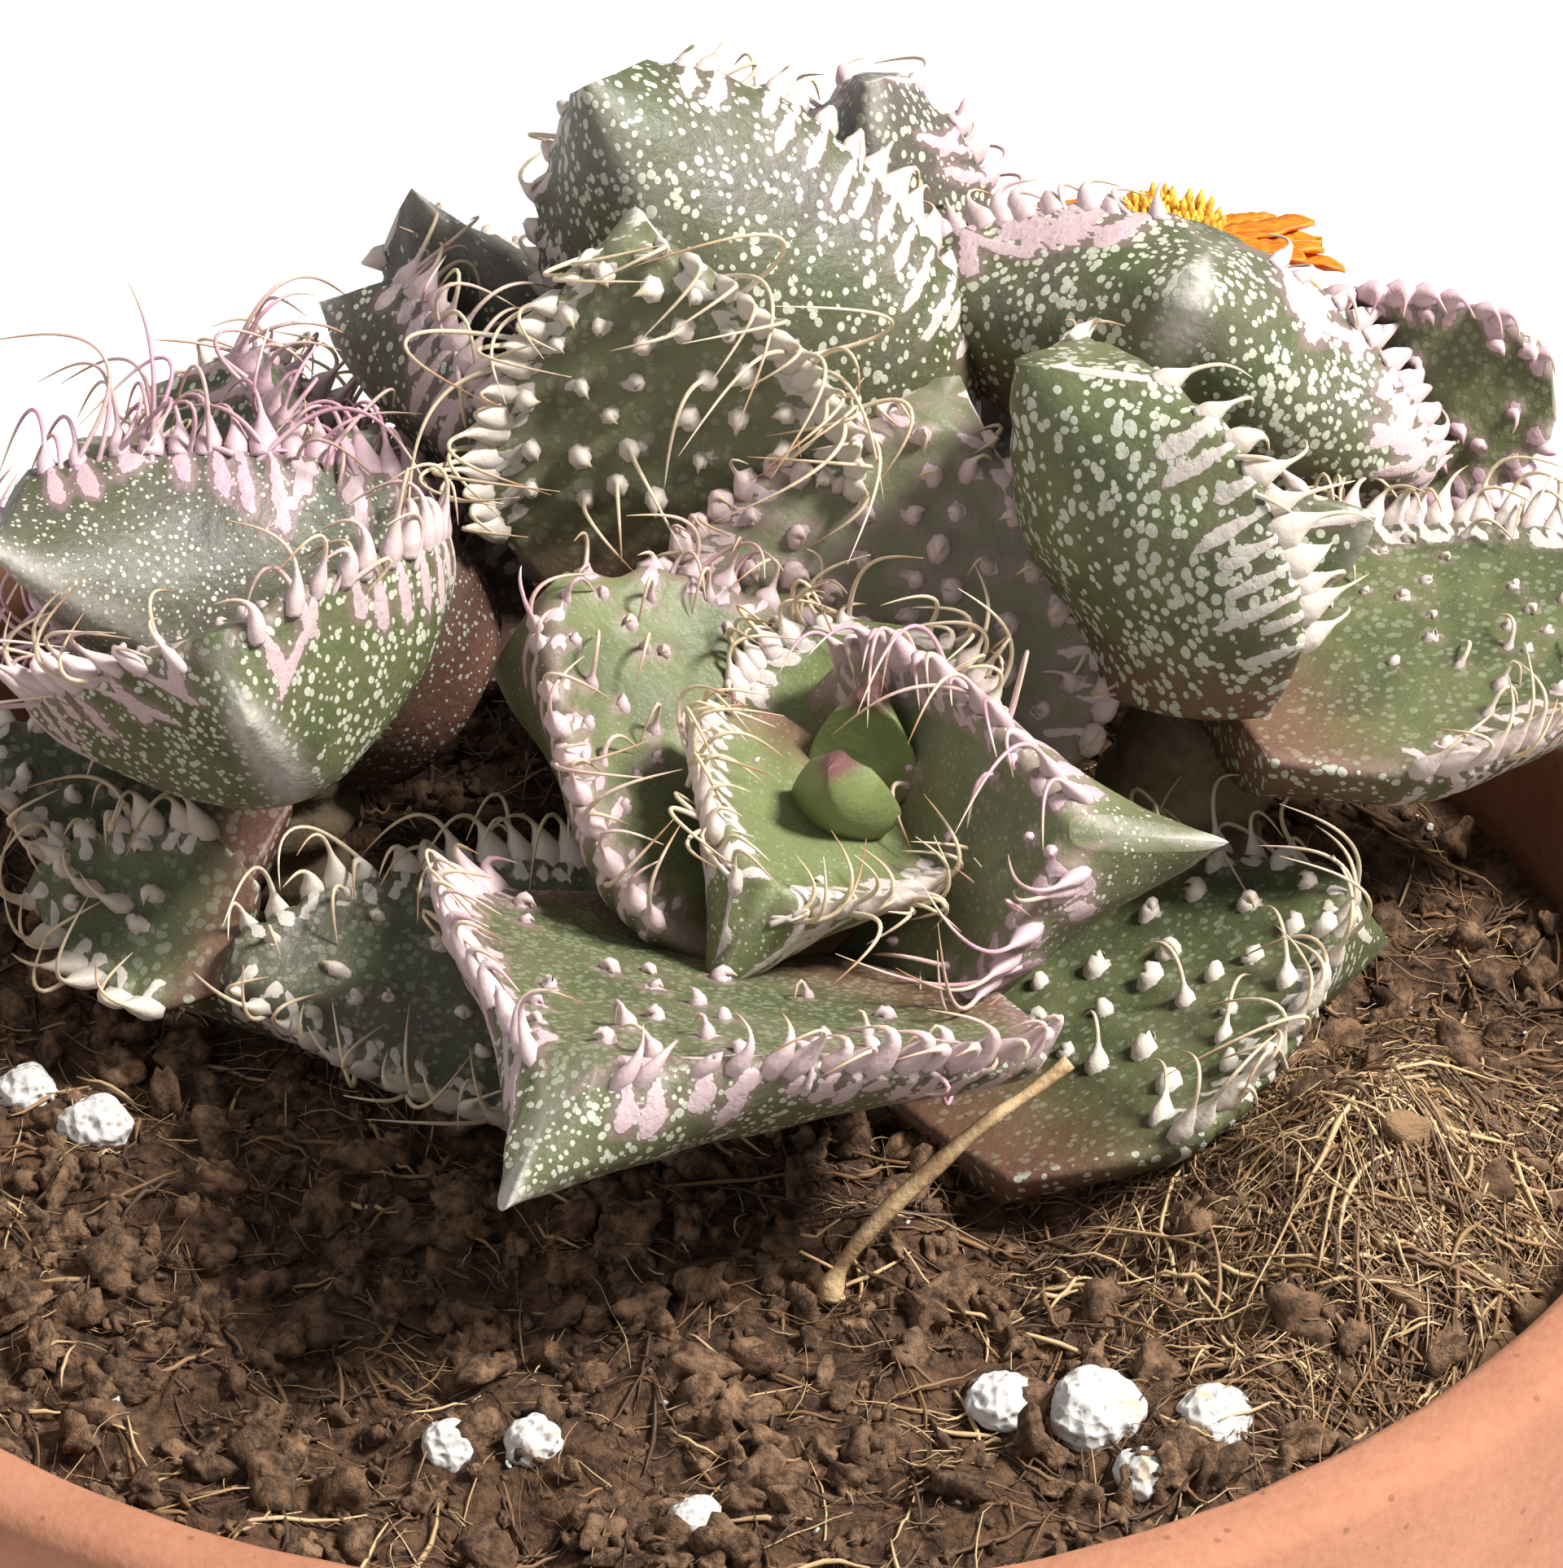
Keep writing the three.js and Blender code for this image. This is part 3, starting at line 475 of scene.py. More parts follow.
def leaf_object(name, leaf, look, material, seed):
    """One leaf: its skin with ridges, its teeth with bristles, its loose hairs and its warts."""
    rng = np.random.default_rng(seed)
    lengthwise, under_side, upper_side = leaf_stations()
    s, side = np.meshgrid(lengthwise, np.concatenate([under_side, upper_side]), indexing="ij")
    is_upper = np.zeros_like(s)
    is_upper[:, UNDER:] = 1
    below = underside(leaf, s[:, :UNDER], side[:, :UNDER])
    grid = np.concatenate([below, upper_face(leaf, s[:, UNDER:], side[:, UNDER:])], axis=1)
    grid = soften(grid, s, side, is_upper)
    across_step = np.roll(grid, -1, axis=1) - np.roll(grid, 1, axis=1)
    normals = unit(np.cross(across_step, np.gradient(grid, axis=0)))
    white, ridge, stripe, teeth, warts = skin_marks(leaf, look, grid, s, side, is_upper, rng)
    flat = grid.reshape(-1, 3)
    lumps = value_noise(flat, 5.0, seed) * 0.22 + value_noise(flat, 1.9, seed + 5) * 0.1
    grid = grid + normals * (0.5 * ridge + lumps.reshape(s.shape) * smooth(s / 0.2))[..., None]

    skin = Skin()
    tone = {value: look[value] for value in ("purple", "pink", "young", "dark", "pale", "fine")}
    ends = np.stack([grid[0].mean(axis=0), grid[-1].mean(axis=0)])
    marks = {"reach": s, "upper": is_upper, "white": white, "keel": stripe}
    for key, values in marks.items():
        marks[key] = np.concatenate([values.ravel(), [values[0].mean(), values[-1].mean()]])
    skin.add_caps(0, STATIONS, UNDER + UPPER, True)
    skin.add(
        np.concatenate([grid.reshape(-1, 3), ends]), ring_faces(STATIONS, UNDER + UPPER),
        hair=0, spots=look["spots"], shade=0.5, **marks, **tone,
    )
    along, across, upward = axes_of(leaf)

    def spike(*where_and_how):
        add_spike(skin, rng, along, tone, *where_and_how)

    def grid_at(s_value, side_value, is_face):
        """Index of the grid point nearest a place on the skin."""
        i = int(np.argmin(np.abs(lengthwise - s_value)))
        if is_face:
            return i, UNDER + int(np.argmin(np.abs(upper_side - side_value)))
        return i, int(np.argmin(np.abs(under_side - side_value)))

    for at, sign in teeth:
        i, j = grid_at(at, sign, False)
        flank_up = unit(grid[i, j] - grid[i, grid_at(at, sign * 0.7, False)[1]])
        outward = 0.75 * flank_up + 0.35 * sign * across + 0.45 * along + 0.25 * upward
        direction = unit(outward + rng.normal(0, 0.08, 3))
        inward = -0.9 * sign * across + 0.25 * upward + 0.1 * along + [0, 0, -0.55]
        bow = unit(inward + rng.normal(0, 0.25, 3))
        size = (0.75 + 0.5 * math.sin(math.pi * min(at, 1))) * rng.uniform(0.85, 1.15)
        bristle = look["bristle"] * rng.choice([0.25, 0.6, 1.0, 1.2]) * rng.uniform(0.8, 1.1)
        spike(grid[i, j], direction, bow, (look["tooth"] * size, 0.56 * size), bristle, 1.5)
    for _ in range(look["hairs"]):
        at, sign = rng.uniform(0.4, 0.97), rng.choice([-1, 1])
        i, j = grid_at(at, sign * 0.97, False)
        direction = unit(0.6 * sign * across + 0.5 * upward + 0.3 * along + rng.normal(0, 0.35, 3))
        inward = -0.8 * sign * across + 0.3 * upward + [0, -0.2, -0.4]
        bow = unit(inward + rng.normal(0, 0.3, 3))
        spike(grid[i, j], direction, bow, (0.5, 0.2), look["bristle"] * rng.uniform(0.7, 1.7), 1.0)
    for at, across_share in warts:
        i, j = grid_at(at, across_share, True)
        direction = unit(normals[i, j] + 0.5 * along + rng.normal(0, 0.12, 3))
        size = look["wart"] * rng.uniform(0.75, 1.25)
        has_bristle = rng.uniform() < 0.22 and look["bristle"] > 0
        bristle = look["bristle"] * rng.uniform(0.5, 1.0) if has_bristle else 0
        inward = -np.sign(across_share) * 0.5 * across + [0, 0, -0.8]
        bow = unit(inward + rng.normal(0, 0.2, 3))
        spike(grid[i, j], direction, bow, (2.1 * size, 0.95 * size), bristle, 1.2)

    piece = skin.build(f"visual_leaf_{name}", material)
    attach(piece, "root")
    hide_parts(f"leaf_{name}")
    return piece


# ---- materials ----
class Nodes:
    """Short calls for building a material's node tree."""

    def __init__(self, name):
        self.material = bpy.data.materials.new(name)
        self.material.use_nodes = True
        self.tree = self.material.node_tree
        self.shader = self.tree.nodes["Principled BSDF"]

    def link(self, source, target):
        """Joins an output to an input, or sets the input to a plain value."""
        if isinstance(source, bpy.types.NodeSocket):
            self.tree.links.new(source, target)
        else:
            target.default_value = source

    def add(self, kind, output=0, settings=None, **inputs):
        """Adds a node, sets its properties and inputs, and returns one output."""
        node = self.tree.nodes.new(kind)
        for key, value in (settings or {}).items():
            setattr(node, key, value)
        for key, value in inputs.items():
            slot = int(key[1:]) if key[0] == "i" and key[1:].isdigit() else key.replace("_", " ")
            self.link(value, node.inputs[slot])
        return node.outputs[output]

    def value(self, name):
        """A per-vertex value by name."""
        return self.add("ShaderNodeAttribute", 2, {"attribute_name": name})

    def math(self, operation, first, second=0.0, third=0.0, clamp=False):
        """One math operation."""
        settings = {"operation": operation, "use_clamp": clamp}
        return self.add("ShaderNodeMath", 0, settings, i0=first, i1=second, i2=third)

    def times(self, first, second, clamp=False):
        """Product of two values."""
        return self.math("MULTIPLY", first, second, clamp=clamp)

    def plus(self, first, second):
        """Sum of two values."""
        return self.math("ADD", first, second)

    def steep(self, value, low, high):
        """0 below `low`, 1 above `high`, smooth between."""
        settings = {"interpolation_type": "SMOOTHSTEP"}
        return self.add("ShaderNodeMapRange", 0, settings, Value=value, From_Min=low, From_Max=high)

    def mix(self, share, first, second):
        """Mixes two colours."""
        node = self.tree.nodes.new("ShaderNodeMix")
        node.data_type = "RGBA"
        for source, target in (
            (share, node.inputs[0]), (first, node.inputs[6]), (second, node.inputs[7]),
        ):
            if isinstance(source, tuple) and len(source) == 3:
                source = (*source, 1.0)
            self.link(source, target)
        return node.outputs[2]

    def noise(self, vector, scale, detail=3.0, roughness=0.55):
        """Noise value in 0..1."""
        return self.add(
            "ShaderNodeTexNoise", 0, None, Vector=vector, Scale=scale, Detail=detail, Roughness=roughness,
        )

    def bump(self, height, strength, distance, normal=None):
        """A bump from a height value, over an earlier bump if given."""
        node = self.tree.nodes.new("ShaderNodeBump")
        self.link(height, node.inputs["Height"])
        node.inputs["Strength"].default_value = strength
        node.inputs["Distance"].default_value = distance
        if normal is not None:
            self.link(normal, node.inputs["Normal"])
        return node.outputs[0]

    def finish(self, colour, roughness, normal=None, **fixed):
        """Sets the shader's inputs: fixed ones are plain numbers on its own sockets."""
        if isinstance(colour, tuple) and len(colour) == 3:
            colour = (*colour, 1.0)
        self.link(colour, self.shader.inputs["Base Color"])
        self.link(roughness, self.shader.inputs["Roughness"])
        if normal is not None:
            self.link(normal, self.shader.inputs["Normal"])
        for key, value in fixed.items():
            self.shader.inputs[key.replace("_", " ")].default_value = value
        return self.material

    def position(self):
        """Object coordinates in metres."""
        return self.add("ShaderNodeTexCoord", 3)


def leaf_material():
    """Fleshy skin: green to purple grey, white flecks, ragged white patches under teeth, pink bristles."""
    n = Nodes("leaf_skin")
    place_xyz = n.add("ShaderNodeVectorMath", 0, {"operation": "SCALE"}, i0=n.position(), Scale=1000.0)
    finer = n.add(
        "ShaderNodeCombineXYZ", 0, None, X=n.value("fine"), Y=n.value("fine"), Z=n.value("fine"),
    )
    finer = n.add("ShaderNodeVectorMath", 0, {"operation": "MULTIPLY"}, i0=place_xyz, i1=finer)
    purple, pink, hair, shade = (n.value(name) for name in ("purple", "pink", "hair", "shade"))
    blotch = n.noise(place_xyz, 0.16, 3.0)
    grain = n.noise(place_xyz, 2.6, 3.0)
    young, shadow = n.value("young"), n.value("dark")
    green = n.mix(n.steep(blotch, 0.35, 0.65), (0.048, 0.060, 0.017), (0.11, 0.125, 0.042))
    green = n.mix(young, green, (0.13, 0.165, 0.045))
    dark = n.mix(grain, (0.042, 0.032, 0.028), (0.115, 0.09, 0.082))
    purple_here = n.plus(purple, n.times(n.math("SUBTRACT", blotch, 0.5), 1.3))
    body = n.mix(n.steep(purple_here, 0.25, 0.85), green, dark)
    body = n.mix(n.times(n.value("pale"), 0.7), body, (0.27, 0.27, 0.16))
    body = n.mix(n.times(grain, 0.16), body, (0.20, 0.21, 0.12))
    # painted shade: each leaf is darkened towards near black by its `dark` value, most on the low and back
    # leaves
    body = n.mix(n.times(shadow, 0.6), body, (0.02, 0.022, 0.013))
    base_red = n.times(n.steep(n.value("reach"), 0.34, 0.04), 0.6)
    body = n.mix(base_red, body, (0.17, 0.055, 0.045))
    bud_tip = n.times(n.steep(young, 0.85, 0.95), n.steep(n.value("reach"), 0.8, 0.95))
    body = n.mix(bud_tip, body, (0.13, 0.055, 0.05))

    stretched = n.add("ShaderNodeVectorMath", 0, {"operation": "MULTIPLY"}, i0=finer, i1=(0.9, 0.9, 0.75))
    jitter = n.add("ShaderNodeTexNoise", 1, None, Vector=place_xyz, Scale=0.9, Detail=1.0)
    wobble = n.add(
        "ShaderNodeVectorMath", 0, {"operation": "MULTIPLY_ADD"}, i0=jitter, i1=(0.5, 0.5, 0.5),
        i2=stretched,
    )
    cells = n.add("ShaderNodeTexVoronoi", 0, {"feature": "F1"}, Vector=wobble, Scale=1.25, Randomness=1.0)
    gate = n.plus(0.6, n.times(n.steep(n.noise(place_xyz, 0.35, 2.0), 0.30, 0.6), 0.4))
    each = n.add("ShaderNodeTexVoronoi", 1, {"feature": "F1"}, Vector=wobble, Scale=1.25, Randomness=1.0)
    own = n.plus(0.55, n.times(each, 0.75))
    size = n.times(n.times(n.times(gate, own), n.value("spots")), 0.45)
    flecks = n.steep(n.math("SUBTRACT", size, cells), -0.03, 0.03)
    flecks = n.times(flecks, n.math("SUBTRACT", 1.0, n.times(n.value("upper"), 0.8)))
    fine_cells = n.add(
        "ShaderNodeTexVoronoi", 0, {"feature": "F1"}, Vector=place_xyz, Scale=3.6, Randomness=1.0,
    )
    specks = n.times(n.steep(fine_cells, 0.22, 0.12), 0.3)

    ragged = n.times(n.math("SUBTRACT", n.noise(place_xyz, 1.1, 3.0, 0.65), 0.5), 0.8)
    patch = n.steep(n.plus(n.value("white"), ragged), 0.46, 0.58)
    pale = n.mix(grain, (0.36, 0.33, 0.27), (0.66, 0.61, 0.54))
    rosiness = n.times(pink, n.plus(0.3, n.times(blotch, 0.8)))
    pale = n.mix(rosiness, pale, (0.46, 0.24, 0.33))
    pale_fleck = n.mix(grain, (0.30, 0.32, 0.23), (0.58, 0.58, 0.48))
    blush = n.times(n.steep(n.value("white"), 0.0, 0.24), n.times(pink, 0.5))
    body = n.mix(blush, body, (0.33, 0.19, 0.21))
    surface = n.mix(specks, body, (0.36, 0.38, 0.26))
    crest = n.times(n.value("keel"), n.plus(0.5, n.times(grain, 0.8)), clamp=True)
    surface = n.mix(crest, surface, n.mix(n.times(pink, 0.4), (0.60, 0.57, 0.50), (0.56, 0.44, 0.48)))
    surface = n.mix(flecks, surface, pale_fleck)
    surface = n.mix(patch, surface, pale)

    foot = n.mix(n.times(pink, 0.75), (0.60, 0.54, 0.45), (0.47, 0.27, 0.36))
    rosy = n.steep(n.plus(pink, n.times(shade, 0.5)), 0.6, 1.3)
    strand = n.mix(rosy, (0.58, 0.46, 0.31), (0.50, 0.27, 0.34))
    ends = n.mix(shade, (0.32, 0.13, 0.05), (0.74, 0.63, 0.46))
    bristle = n.mix(n.steep(hair, 0.01, 0.25), foot, strand)
    bristle = n.mix(n.steep(hair, 0.5, 0.9), bristle, ends)
    colour = n.mix(n.steep(hair, 0.004, 0.01), surface, bristle)

    relief = n.plus(n.times(patch, 0.5), n.times(flecks, 0.35))
    relief = n.plus(relief, n.times(n.noise(place_xyz, 1.6, 4.0), 0.8))
    normal = n.bump(relief, 0.35, 0.00035)
    roughness = n.plus(0.40, n.times(grain, 0.2))
    return n.finish(
        colour, roughness, normal,
        Subsurface_Weight=0.12, Subsurface_Radius=(
            0.9, 1.0, 0.5,
        ), Subsurface_Scale=0.0012, Specular_IOR_Level=0.42,
    )


def peat_material(name, dark, light, gold):
    """Crumbly peat: dark to mid brown, with golden dust, picked by the piece's own shade."""
    n = Nodes(name)
    where = n.position()
    broad, fine = n.noise(where, 90, 4.0), n.noise(where, 900, 4.0, 0.7)
    colour = n.mix(n.steep(fine, 0.3, 0.7), dark, light)
    golden = n.times(n.steep(n.plus(n.value("gold"), n.times(broad, 0.5)), 0.55, 1.1), 0.8)
    colour = n.mix(golden, colour, gold)
    colour = n.mix(n.times(n.value("shade"), 0.45), colour, (0.02, 0.011, 0.007))
    normal = n.bump(n.noise(where, 1600, 5.0, 0.7), 0.9, 0.0006)
    return n.finish(colour, n.plus(0.82, n.times(fine, 0.15)), normal, Specular_IOR_Level=0.2)


def fibre_material():
    """Root and moss fibres: dark brown to straw gold by each fibre's shade."""
    n = Nodes("fibre")
    where = n.position()
    grain = n.noise(where, 1500, 2.0)
    shade = n.value("shade")
    colour = n.mix(n.steep(shade, 0.1, 0.5), (0.05, 0.025, 0.012), (0.22, 0.115, 0.045))
    colour = n.mix(n.steep(shade, 0.5, 0.95), colour, (0.60, 0.42, 0.22))
    colour = n.mix(n.times(grain, 0.4), colour, (0.12, 0.06, 0.03))
    return n.finish(colour, n.plus(0.55, n.times(grain, 0.2)), n.bump(grain, 0.3, 0.0001))


def perlite_material():
    """White, pitted volcanic glass foam."""
    n = Nodes("perlite_foam")
    where = n.position()
    pits = n.add("ShaderNodeTexVoronoi", 0, {"feature": "F1"}, Vector=where, Scale=1600.0)
    dust = n.noise(where, 500, 4.0)
    colour = n.mix(n.steep(pits, 0.05, 0.35), (0.30, 0.27, 0.23), (0.56, 0.545, 0.52))
    colour = n.mix(n.steep(dust, 0.56, 0.72), colour, (0.55, 0.42, 0.30))
    normal = n.bump(pits, 0.7, 0.0003)
    return n.finish(colour, n.plus(0.7, n.times(dust, 0.2)), normal, Subsurface_Weight=0.1,
                    Subsurface_Scale=0.001)


def clay_material():
    """Weathered terracotta: blotches, lime bloom low down and fine sand grain."""
    n = Nodes("terracotta_clay")
    where = n.position()
    blotch, grain = n.noise(where, 28, 5.0, 0.6), n.noise(where, 1400, 3.0)
    colour = n.mix(n.steep(blotch, 0.3, 0.7), (0.27, 0.10, 0.055), (0.40, 0.17, 0.10))
    colour = n.mix(n.times(grain, 0.35), colour, (0.56, 0.30, 0.18))
    height = n.add("ShaderNodeSeparateXYZ", 2, None, Vector=where)
    bloom = n.plus(n.noise(where, 60, 5.0, 0.7), n.times(n.steep(height, 0.075, 0.0), 0.35))
    colour = n.mix(n.times(n.steep(bloom, 0.62, 0.85), 0.45), colour, (0.66, 0.55, 0.46))
    damp = n.times(n.steep(n.noise(where, 40, 3.0), 0.55, 0.75), 0.5)
    colour = n.mix(damp, colour, (0.20, 0.075, 0.045))
    speck = n.add("ShaderNodeTexVoronoi", 0, {"feature": "F1"}, Vector=where, Scale=520.0)
    colour = n.mix(n.times(n.steep(speck, 0.13, 0.08), 0.5), colour, (0.12, 0.05, 0.03))
    relief = n.plus(grain, n.times(n.noise(where, 220, 4.0), 1.2))
    normal = n.bump(relief, 0.35, 0.0003)
    return n.finish(colour, n.plus(0.74, n.times(blotch, 0.2)), normal, Specular_IOR_Level=0.25)


def petal_material():
    """Ragged orange petals, yellower and browner in streaks along them."""
    n = Nodes("petal_orange")
    along, shade = n.value("along"), n.value("shade")
    where = n.add("ShaderNodeCombineXYZ", 0, None, X=n.times(along, 0.25), Y=n.value("across"), Z=shade)
    streak = n.noise(where, 3.0, 3.0, 0.65)
    colour = n.mix(n.steep(streak, 0.3, 0.7), (0.52, 0.12, 0.004), (0.72, 0.24, 0.006))
    colour = n.mix(n.steep(shade, 0.75, 0.95), colour, (0.72, 0.40, 0.03))
    colour = n.mix(n.times(n.steep(streak, 0.62, 0.75), 0.7), colour, (0.25, 0.07, 0.01))
    normal = n.bump(streak, 0.5, 0.0002)
    return n.finish(colour, n.plus(0.5, n.times(streak, 0.2)), normal, Subsurface_Weight=0.15,
                    Subsurface_Scale=0.001)


def plain_material(name, first, second, scale, roughness, depth):
    """Two-tone mottled surface with fine bumps."""
    n = Nodes(name)
    where = n.position()
    broad, fine = n.noise(where, scale, 4.0), n.noise(where, scale * 8, 3.0)
    colour = n.mix(n.steep(n.plus(broad, n.times(fine, 0.4)), 0.45, 0.95), first, second)
    normal = n.bump(fine, 0.5, depth)
    return n.finish(colour, n.plus(roughness, n.times(broad, 0.2)), normal)


# ---- soil ----
SOIL_CLEARANCE = 0.3
SOIL_EDGE_DROP = 8
SOIL_CROWN = 1
ROOT_BALL = {"x": 40, "y": -19, "spread": 14, "height": 8}
WALL = 5
INNER_RADIUS = RIM_RADIUS - WALL
CRUMBS = 5200
FIBRES = 12000
MAT_FIBRES = 3600
GRIT = 90


def soil_height(x, y):
    """Height of the soil's surface, as the CAD part has it."""
    share = np.hypot(x, y) / INNER_RADIUS
    crown = SOIL_CROWN * (1 - smooth((share - 0.35) / 0.65))
    away = np.hypot(x - ROOT_BALL["x"], y - ROOT_BALL["y"]) / ROOT_BALL["spread"]
    mound = ROOT_BALL["height"] * np.exp(-(away**2)) * (1 - smooth((share - 0.72) / 0.28))
    return POT_HEIGHT - SOIL_EDGE_DROP + crown + mound


def mound_share(x, y):
    """1 on the root ball, fading to 0 away from it."""
    away = np.hypot(x - ROOT_BALL["x"], y - ROOT_BALL["y"]) / (ROOT_BALL["spread"] * 1.25)
    return np.exp(-(away**2))


def soil_relief(x, y):
    """Crumbly unevenness of the soil's surface, in millimetres."""
    points = np.stack([x, y, np.zeros_like(x)], axis=-1).reshape(-1, 3)
    relief = value_noise(points, 9.0, 3) * 1.3 + value_noise(points, 4.2, 4)
    relief = relief + value_noise(points, 1.9, 5) * 0.45 + np.abs(value_noise(points, 0.9, 9)) * 0.5
    return relief.reshape(x.shape)


SOIL_LOW, SOIL_HIGH = box_mm("soil")


def soil_object(material):
    """The filling: an uneven crumbly top over a plain plug that follows the pot's inner wall."""
    around, rings = 420, 200
    skin = Skin()
    radii = (SOIL_HIGH[0] - 0.1) * (np.arange(1, rings + 1) / rings) ** 0.9
    angle = np.arange(around) * 2 * np.pi / around
    x, y = radii[:, None] * np.cos(angle), radii[:, None] * np.sin(angle)
    edge = np.clip((radii[-1] - radii) / 3, 0, 1)[:, None]
    z = soil_height(x, y) + soil_relief(x, y) * (0.3 + 0.7 * edge)
    low_radius = (SOIL_HIGH[0] - 0.1) * 0.62
    wall = [turned(low_radius + 4, angle, SOIL_LOW[2] + 25), turned(low_radius, angle, SOIL_LOW[2])]
    ends = [(0, 0, z[0].mean()), (0, 0, SOIL_LOW[2])]
    points = np.concatenate([np.stack([x, y, z], axis=-1).reshape(-1, 3), *wall, ends])
    gold = mound_share(points[:, 0], points[:, 1])
    skin.add(points, ring_faces(rings + 2, around)[:, ::-1], gold=gold, shade=0.2)
    skin.add_caps(0, rings + 2, around, False)
    return skin.build("visual_soil", material)


def clod_points(rng, count):
    """Random places spread evenly over the soil."""
    radius = (SOIL_HIGH[0] - 1.2) * np.sqrt(rng.uniform(0, 1, count))
    angle = rng.uniform(0, 2 * np.pi, count)
    return radius * np.cos(angle), radius * np.sin(angle)


def icosphere(level):
    """Vertices and triangles of a unit sphere."""
    golden = (1 + 5**0.5) / 2
    points = [(-1, golden, 0), (1, golden, 0), (-1, -golden, 0), (1, -golden, 0)]
    points = points + [(z, x, y) for x, y, z in points] + [(y, z, x) for x, y, z in points]
    points = unit(np.array(points, float))
    gaps = np.linalg.norm(points[:, None] - points[None], axis=-1)
    near = np.isclose(gaps, np.min(gaps[gaps > 0.1]), atol=1e-6)
    faces = []
    for a in range(12):
        for b in range(a + 1, 12):
            for c in range(b + 1, 12):
                if near[a, b] and near[b, c] and near[a, c]:
                    normal = np.cross(points[b] - points[a], points[c] - points[a])
                    faces.append((a, b, c) if np.dot(normal, points[a]) > 0 else (a, c, b))
    points = list(points)
    for _ in range(level):
        middle, finer = {}, []

        def halfway(a, b):
            key = (min(a, b), max(a, b))
            if key not in middle:
                middle[key] = len(points)
                points.append(unit(points[a] + points[b]))
            return middle[key]

        for a, b, c in faces:
            ab, bc, ca = halfway(a, b), halfway(b, c), halfway(c, a)
            finer += [(a, ab, ca), (b, bc, ab), (c, ca, bc), (ab, bc, ca)]
        faces = finer
    return np.array(points), np.array(faces)


BALLS = {level: icosphere(level) for level in (1, 2, 3, 4)}


def lump(skin, centre, size, rng, level=2, rough=0.28, **values):
    """An angular, uneven lump."""
    points, faces = BALLS[level]
    stretch = rng.uniform(0.45, 1.35, 3)
    shift = rng.uniform(0, 100, 3)
    radius = 1 + rough * rough_noise(points + shift, 0.9, 1, 3)
    chunky = points * radius[:, None] * stretch
    turn = np.linalg.qr(rng.normal(size=(3, 3)))[0]
    turn = turn * np.sign(np.linalg.det(turn))
    skin.add(np.array(centre) + size * chunky @ turn.T, faces, **values)


def soil_clods(material, rng):
    """Loose crumbs of peat lying on the soil."""
    skin = Skin()
    x, y = clod_points(rng, CRUMBS)
    z = soil_height(x, y) + soil_relief(x, y)
    gold = mound_share(x, y)
    for i in range(len(x)):
        size = 0.2 + 1.25 * rng.uniform() ** 5
        lump(skin, (x[i], y[i], z[i] + 0.15 * size), size, rng, 2 if size > 0.5 else 1, 0.8,
             gold=gold[i] * rng.uniform(0.4, 1), shade=rng.uniform())
    return skin.build("visual_soil_crumbs", material)


def soil_fibres(material, rng):
    """Root and moss fibres lying over the soil, thickest and palest on the root ball."""
    skin = Skin()
    x, y = clod_points(rng, FIBRES)
    beside = rng.normal(0, 0.62 * ROOT_BALL["spread"], (2, MAT_FIBRES))
    kept = np.hypot(ROOT_BALL["x"] + beside[0], ROOT_BALL["y"] + beside[1]) < SOIL_HIGH[0] - 2
    x = np.concatenate([x, ROOT_BALL["x"] + beside[0][kept]])
    y = np.concatenate([y, ROOT_BALL["y"] + beside[1][kept]])
    share = mound_share(x, y)
    keep = rng.uniform(size=len(x)) < 0.30 + 0.70 * share
    for px, py, mound in zip(x[keep], y[keep], share[keep]):
        length = rng.uniform(1.5, 5) + 7 * rng.uniform() ** 5
        heading = rng.uniform(0, 2 * np.pi)
        bend = rng.normal(0, 0.14)
        u = np.linspace(-0.5, 0.5, 7)
        turn = heading + bend * u * 2
        lengthwise = length * u
        fx = px + lengthwise * np.cos(turn)
        fy = py + lengthwise * np.sin(turn)
        if (np.hypot(fx, fy) > SOIL_HIGH[0] - 0.8).any():
            continue
        lift = rng.uniform(0.05, 0.5) + rng.uniform(0, 1.6) * mound
        lift = lift + rng.normal(0, 0.25, 7).cumsum() * 0.5
        fz = soil_height(fx, fy) + soil_relief(fx, fy) + np.clip(lift, 0.0, 3.0)
        shade = np.clip(rng.uniform() ** 1.5 + 0.15 * mound, 0, 1)
        radius = 0.035 + 0.17 * rng.uniform() ** 3
        taper = np.clip(1.15 - np.abs(u) * 1.6, 0.25, 1)
        add_tube(skin, np.stack([fx, fy, fz], axis=-1), radius * taper, 4, shade=shade)
    return skin.build("visual_soil_fibres", material)


def soil_grit(material, rng):
    """Small pale crumbs of perlite dust."""
    skin = Skin()
    x, y = clod_points(rng, GRIT)
    z = soil_height(x, y) + soil_relief(x, y)
    for i in range(len(x)):
        lump(skin, (x[i], y[i], z[i] + 0.1), rng.uniform(0.12, 0.4), rng, 1, 0.3)
    return skin.build("visual_soil_grit", material)


def perlite_object(index, material, rng):
    """One pitted grain in the CAD grain's place."""
    low, high = box_mm(f"perlite_{index}")
    centre, half = (low + high) / 2, (high - low) / 2
    points, faces = BALLS[4]
    shift = rng.uniform(0, 50, 3)
    pits = np.abs(value_noise(points + shift, 0.33, 7))
    radius = 1 + 0.16 * rough_noise(points + shift, 0.9, 2, 3) - 0.12 * pits
    skin = Skin()
    skin.add(centre + points * radius[:, None] * half * 1.03, faces)
    piece = skin.build(f"visual_perlite_{index}", material)
    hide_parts(f"perlite_{index}")
    return piece


# ---- pot ----
COLLAR_HEIGHT = 24
COLLAR_DRAFT = 1.5
COLLAR_STEP = 4
BASE_RADIUS = 40
FLOOR_THICKNESS = 7
DRAIN_RADIUS = 6
RIM_ROUNDING = 1.2


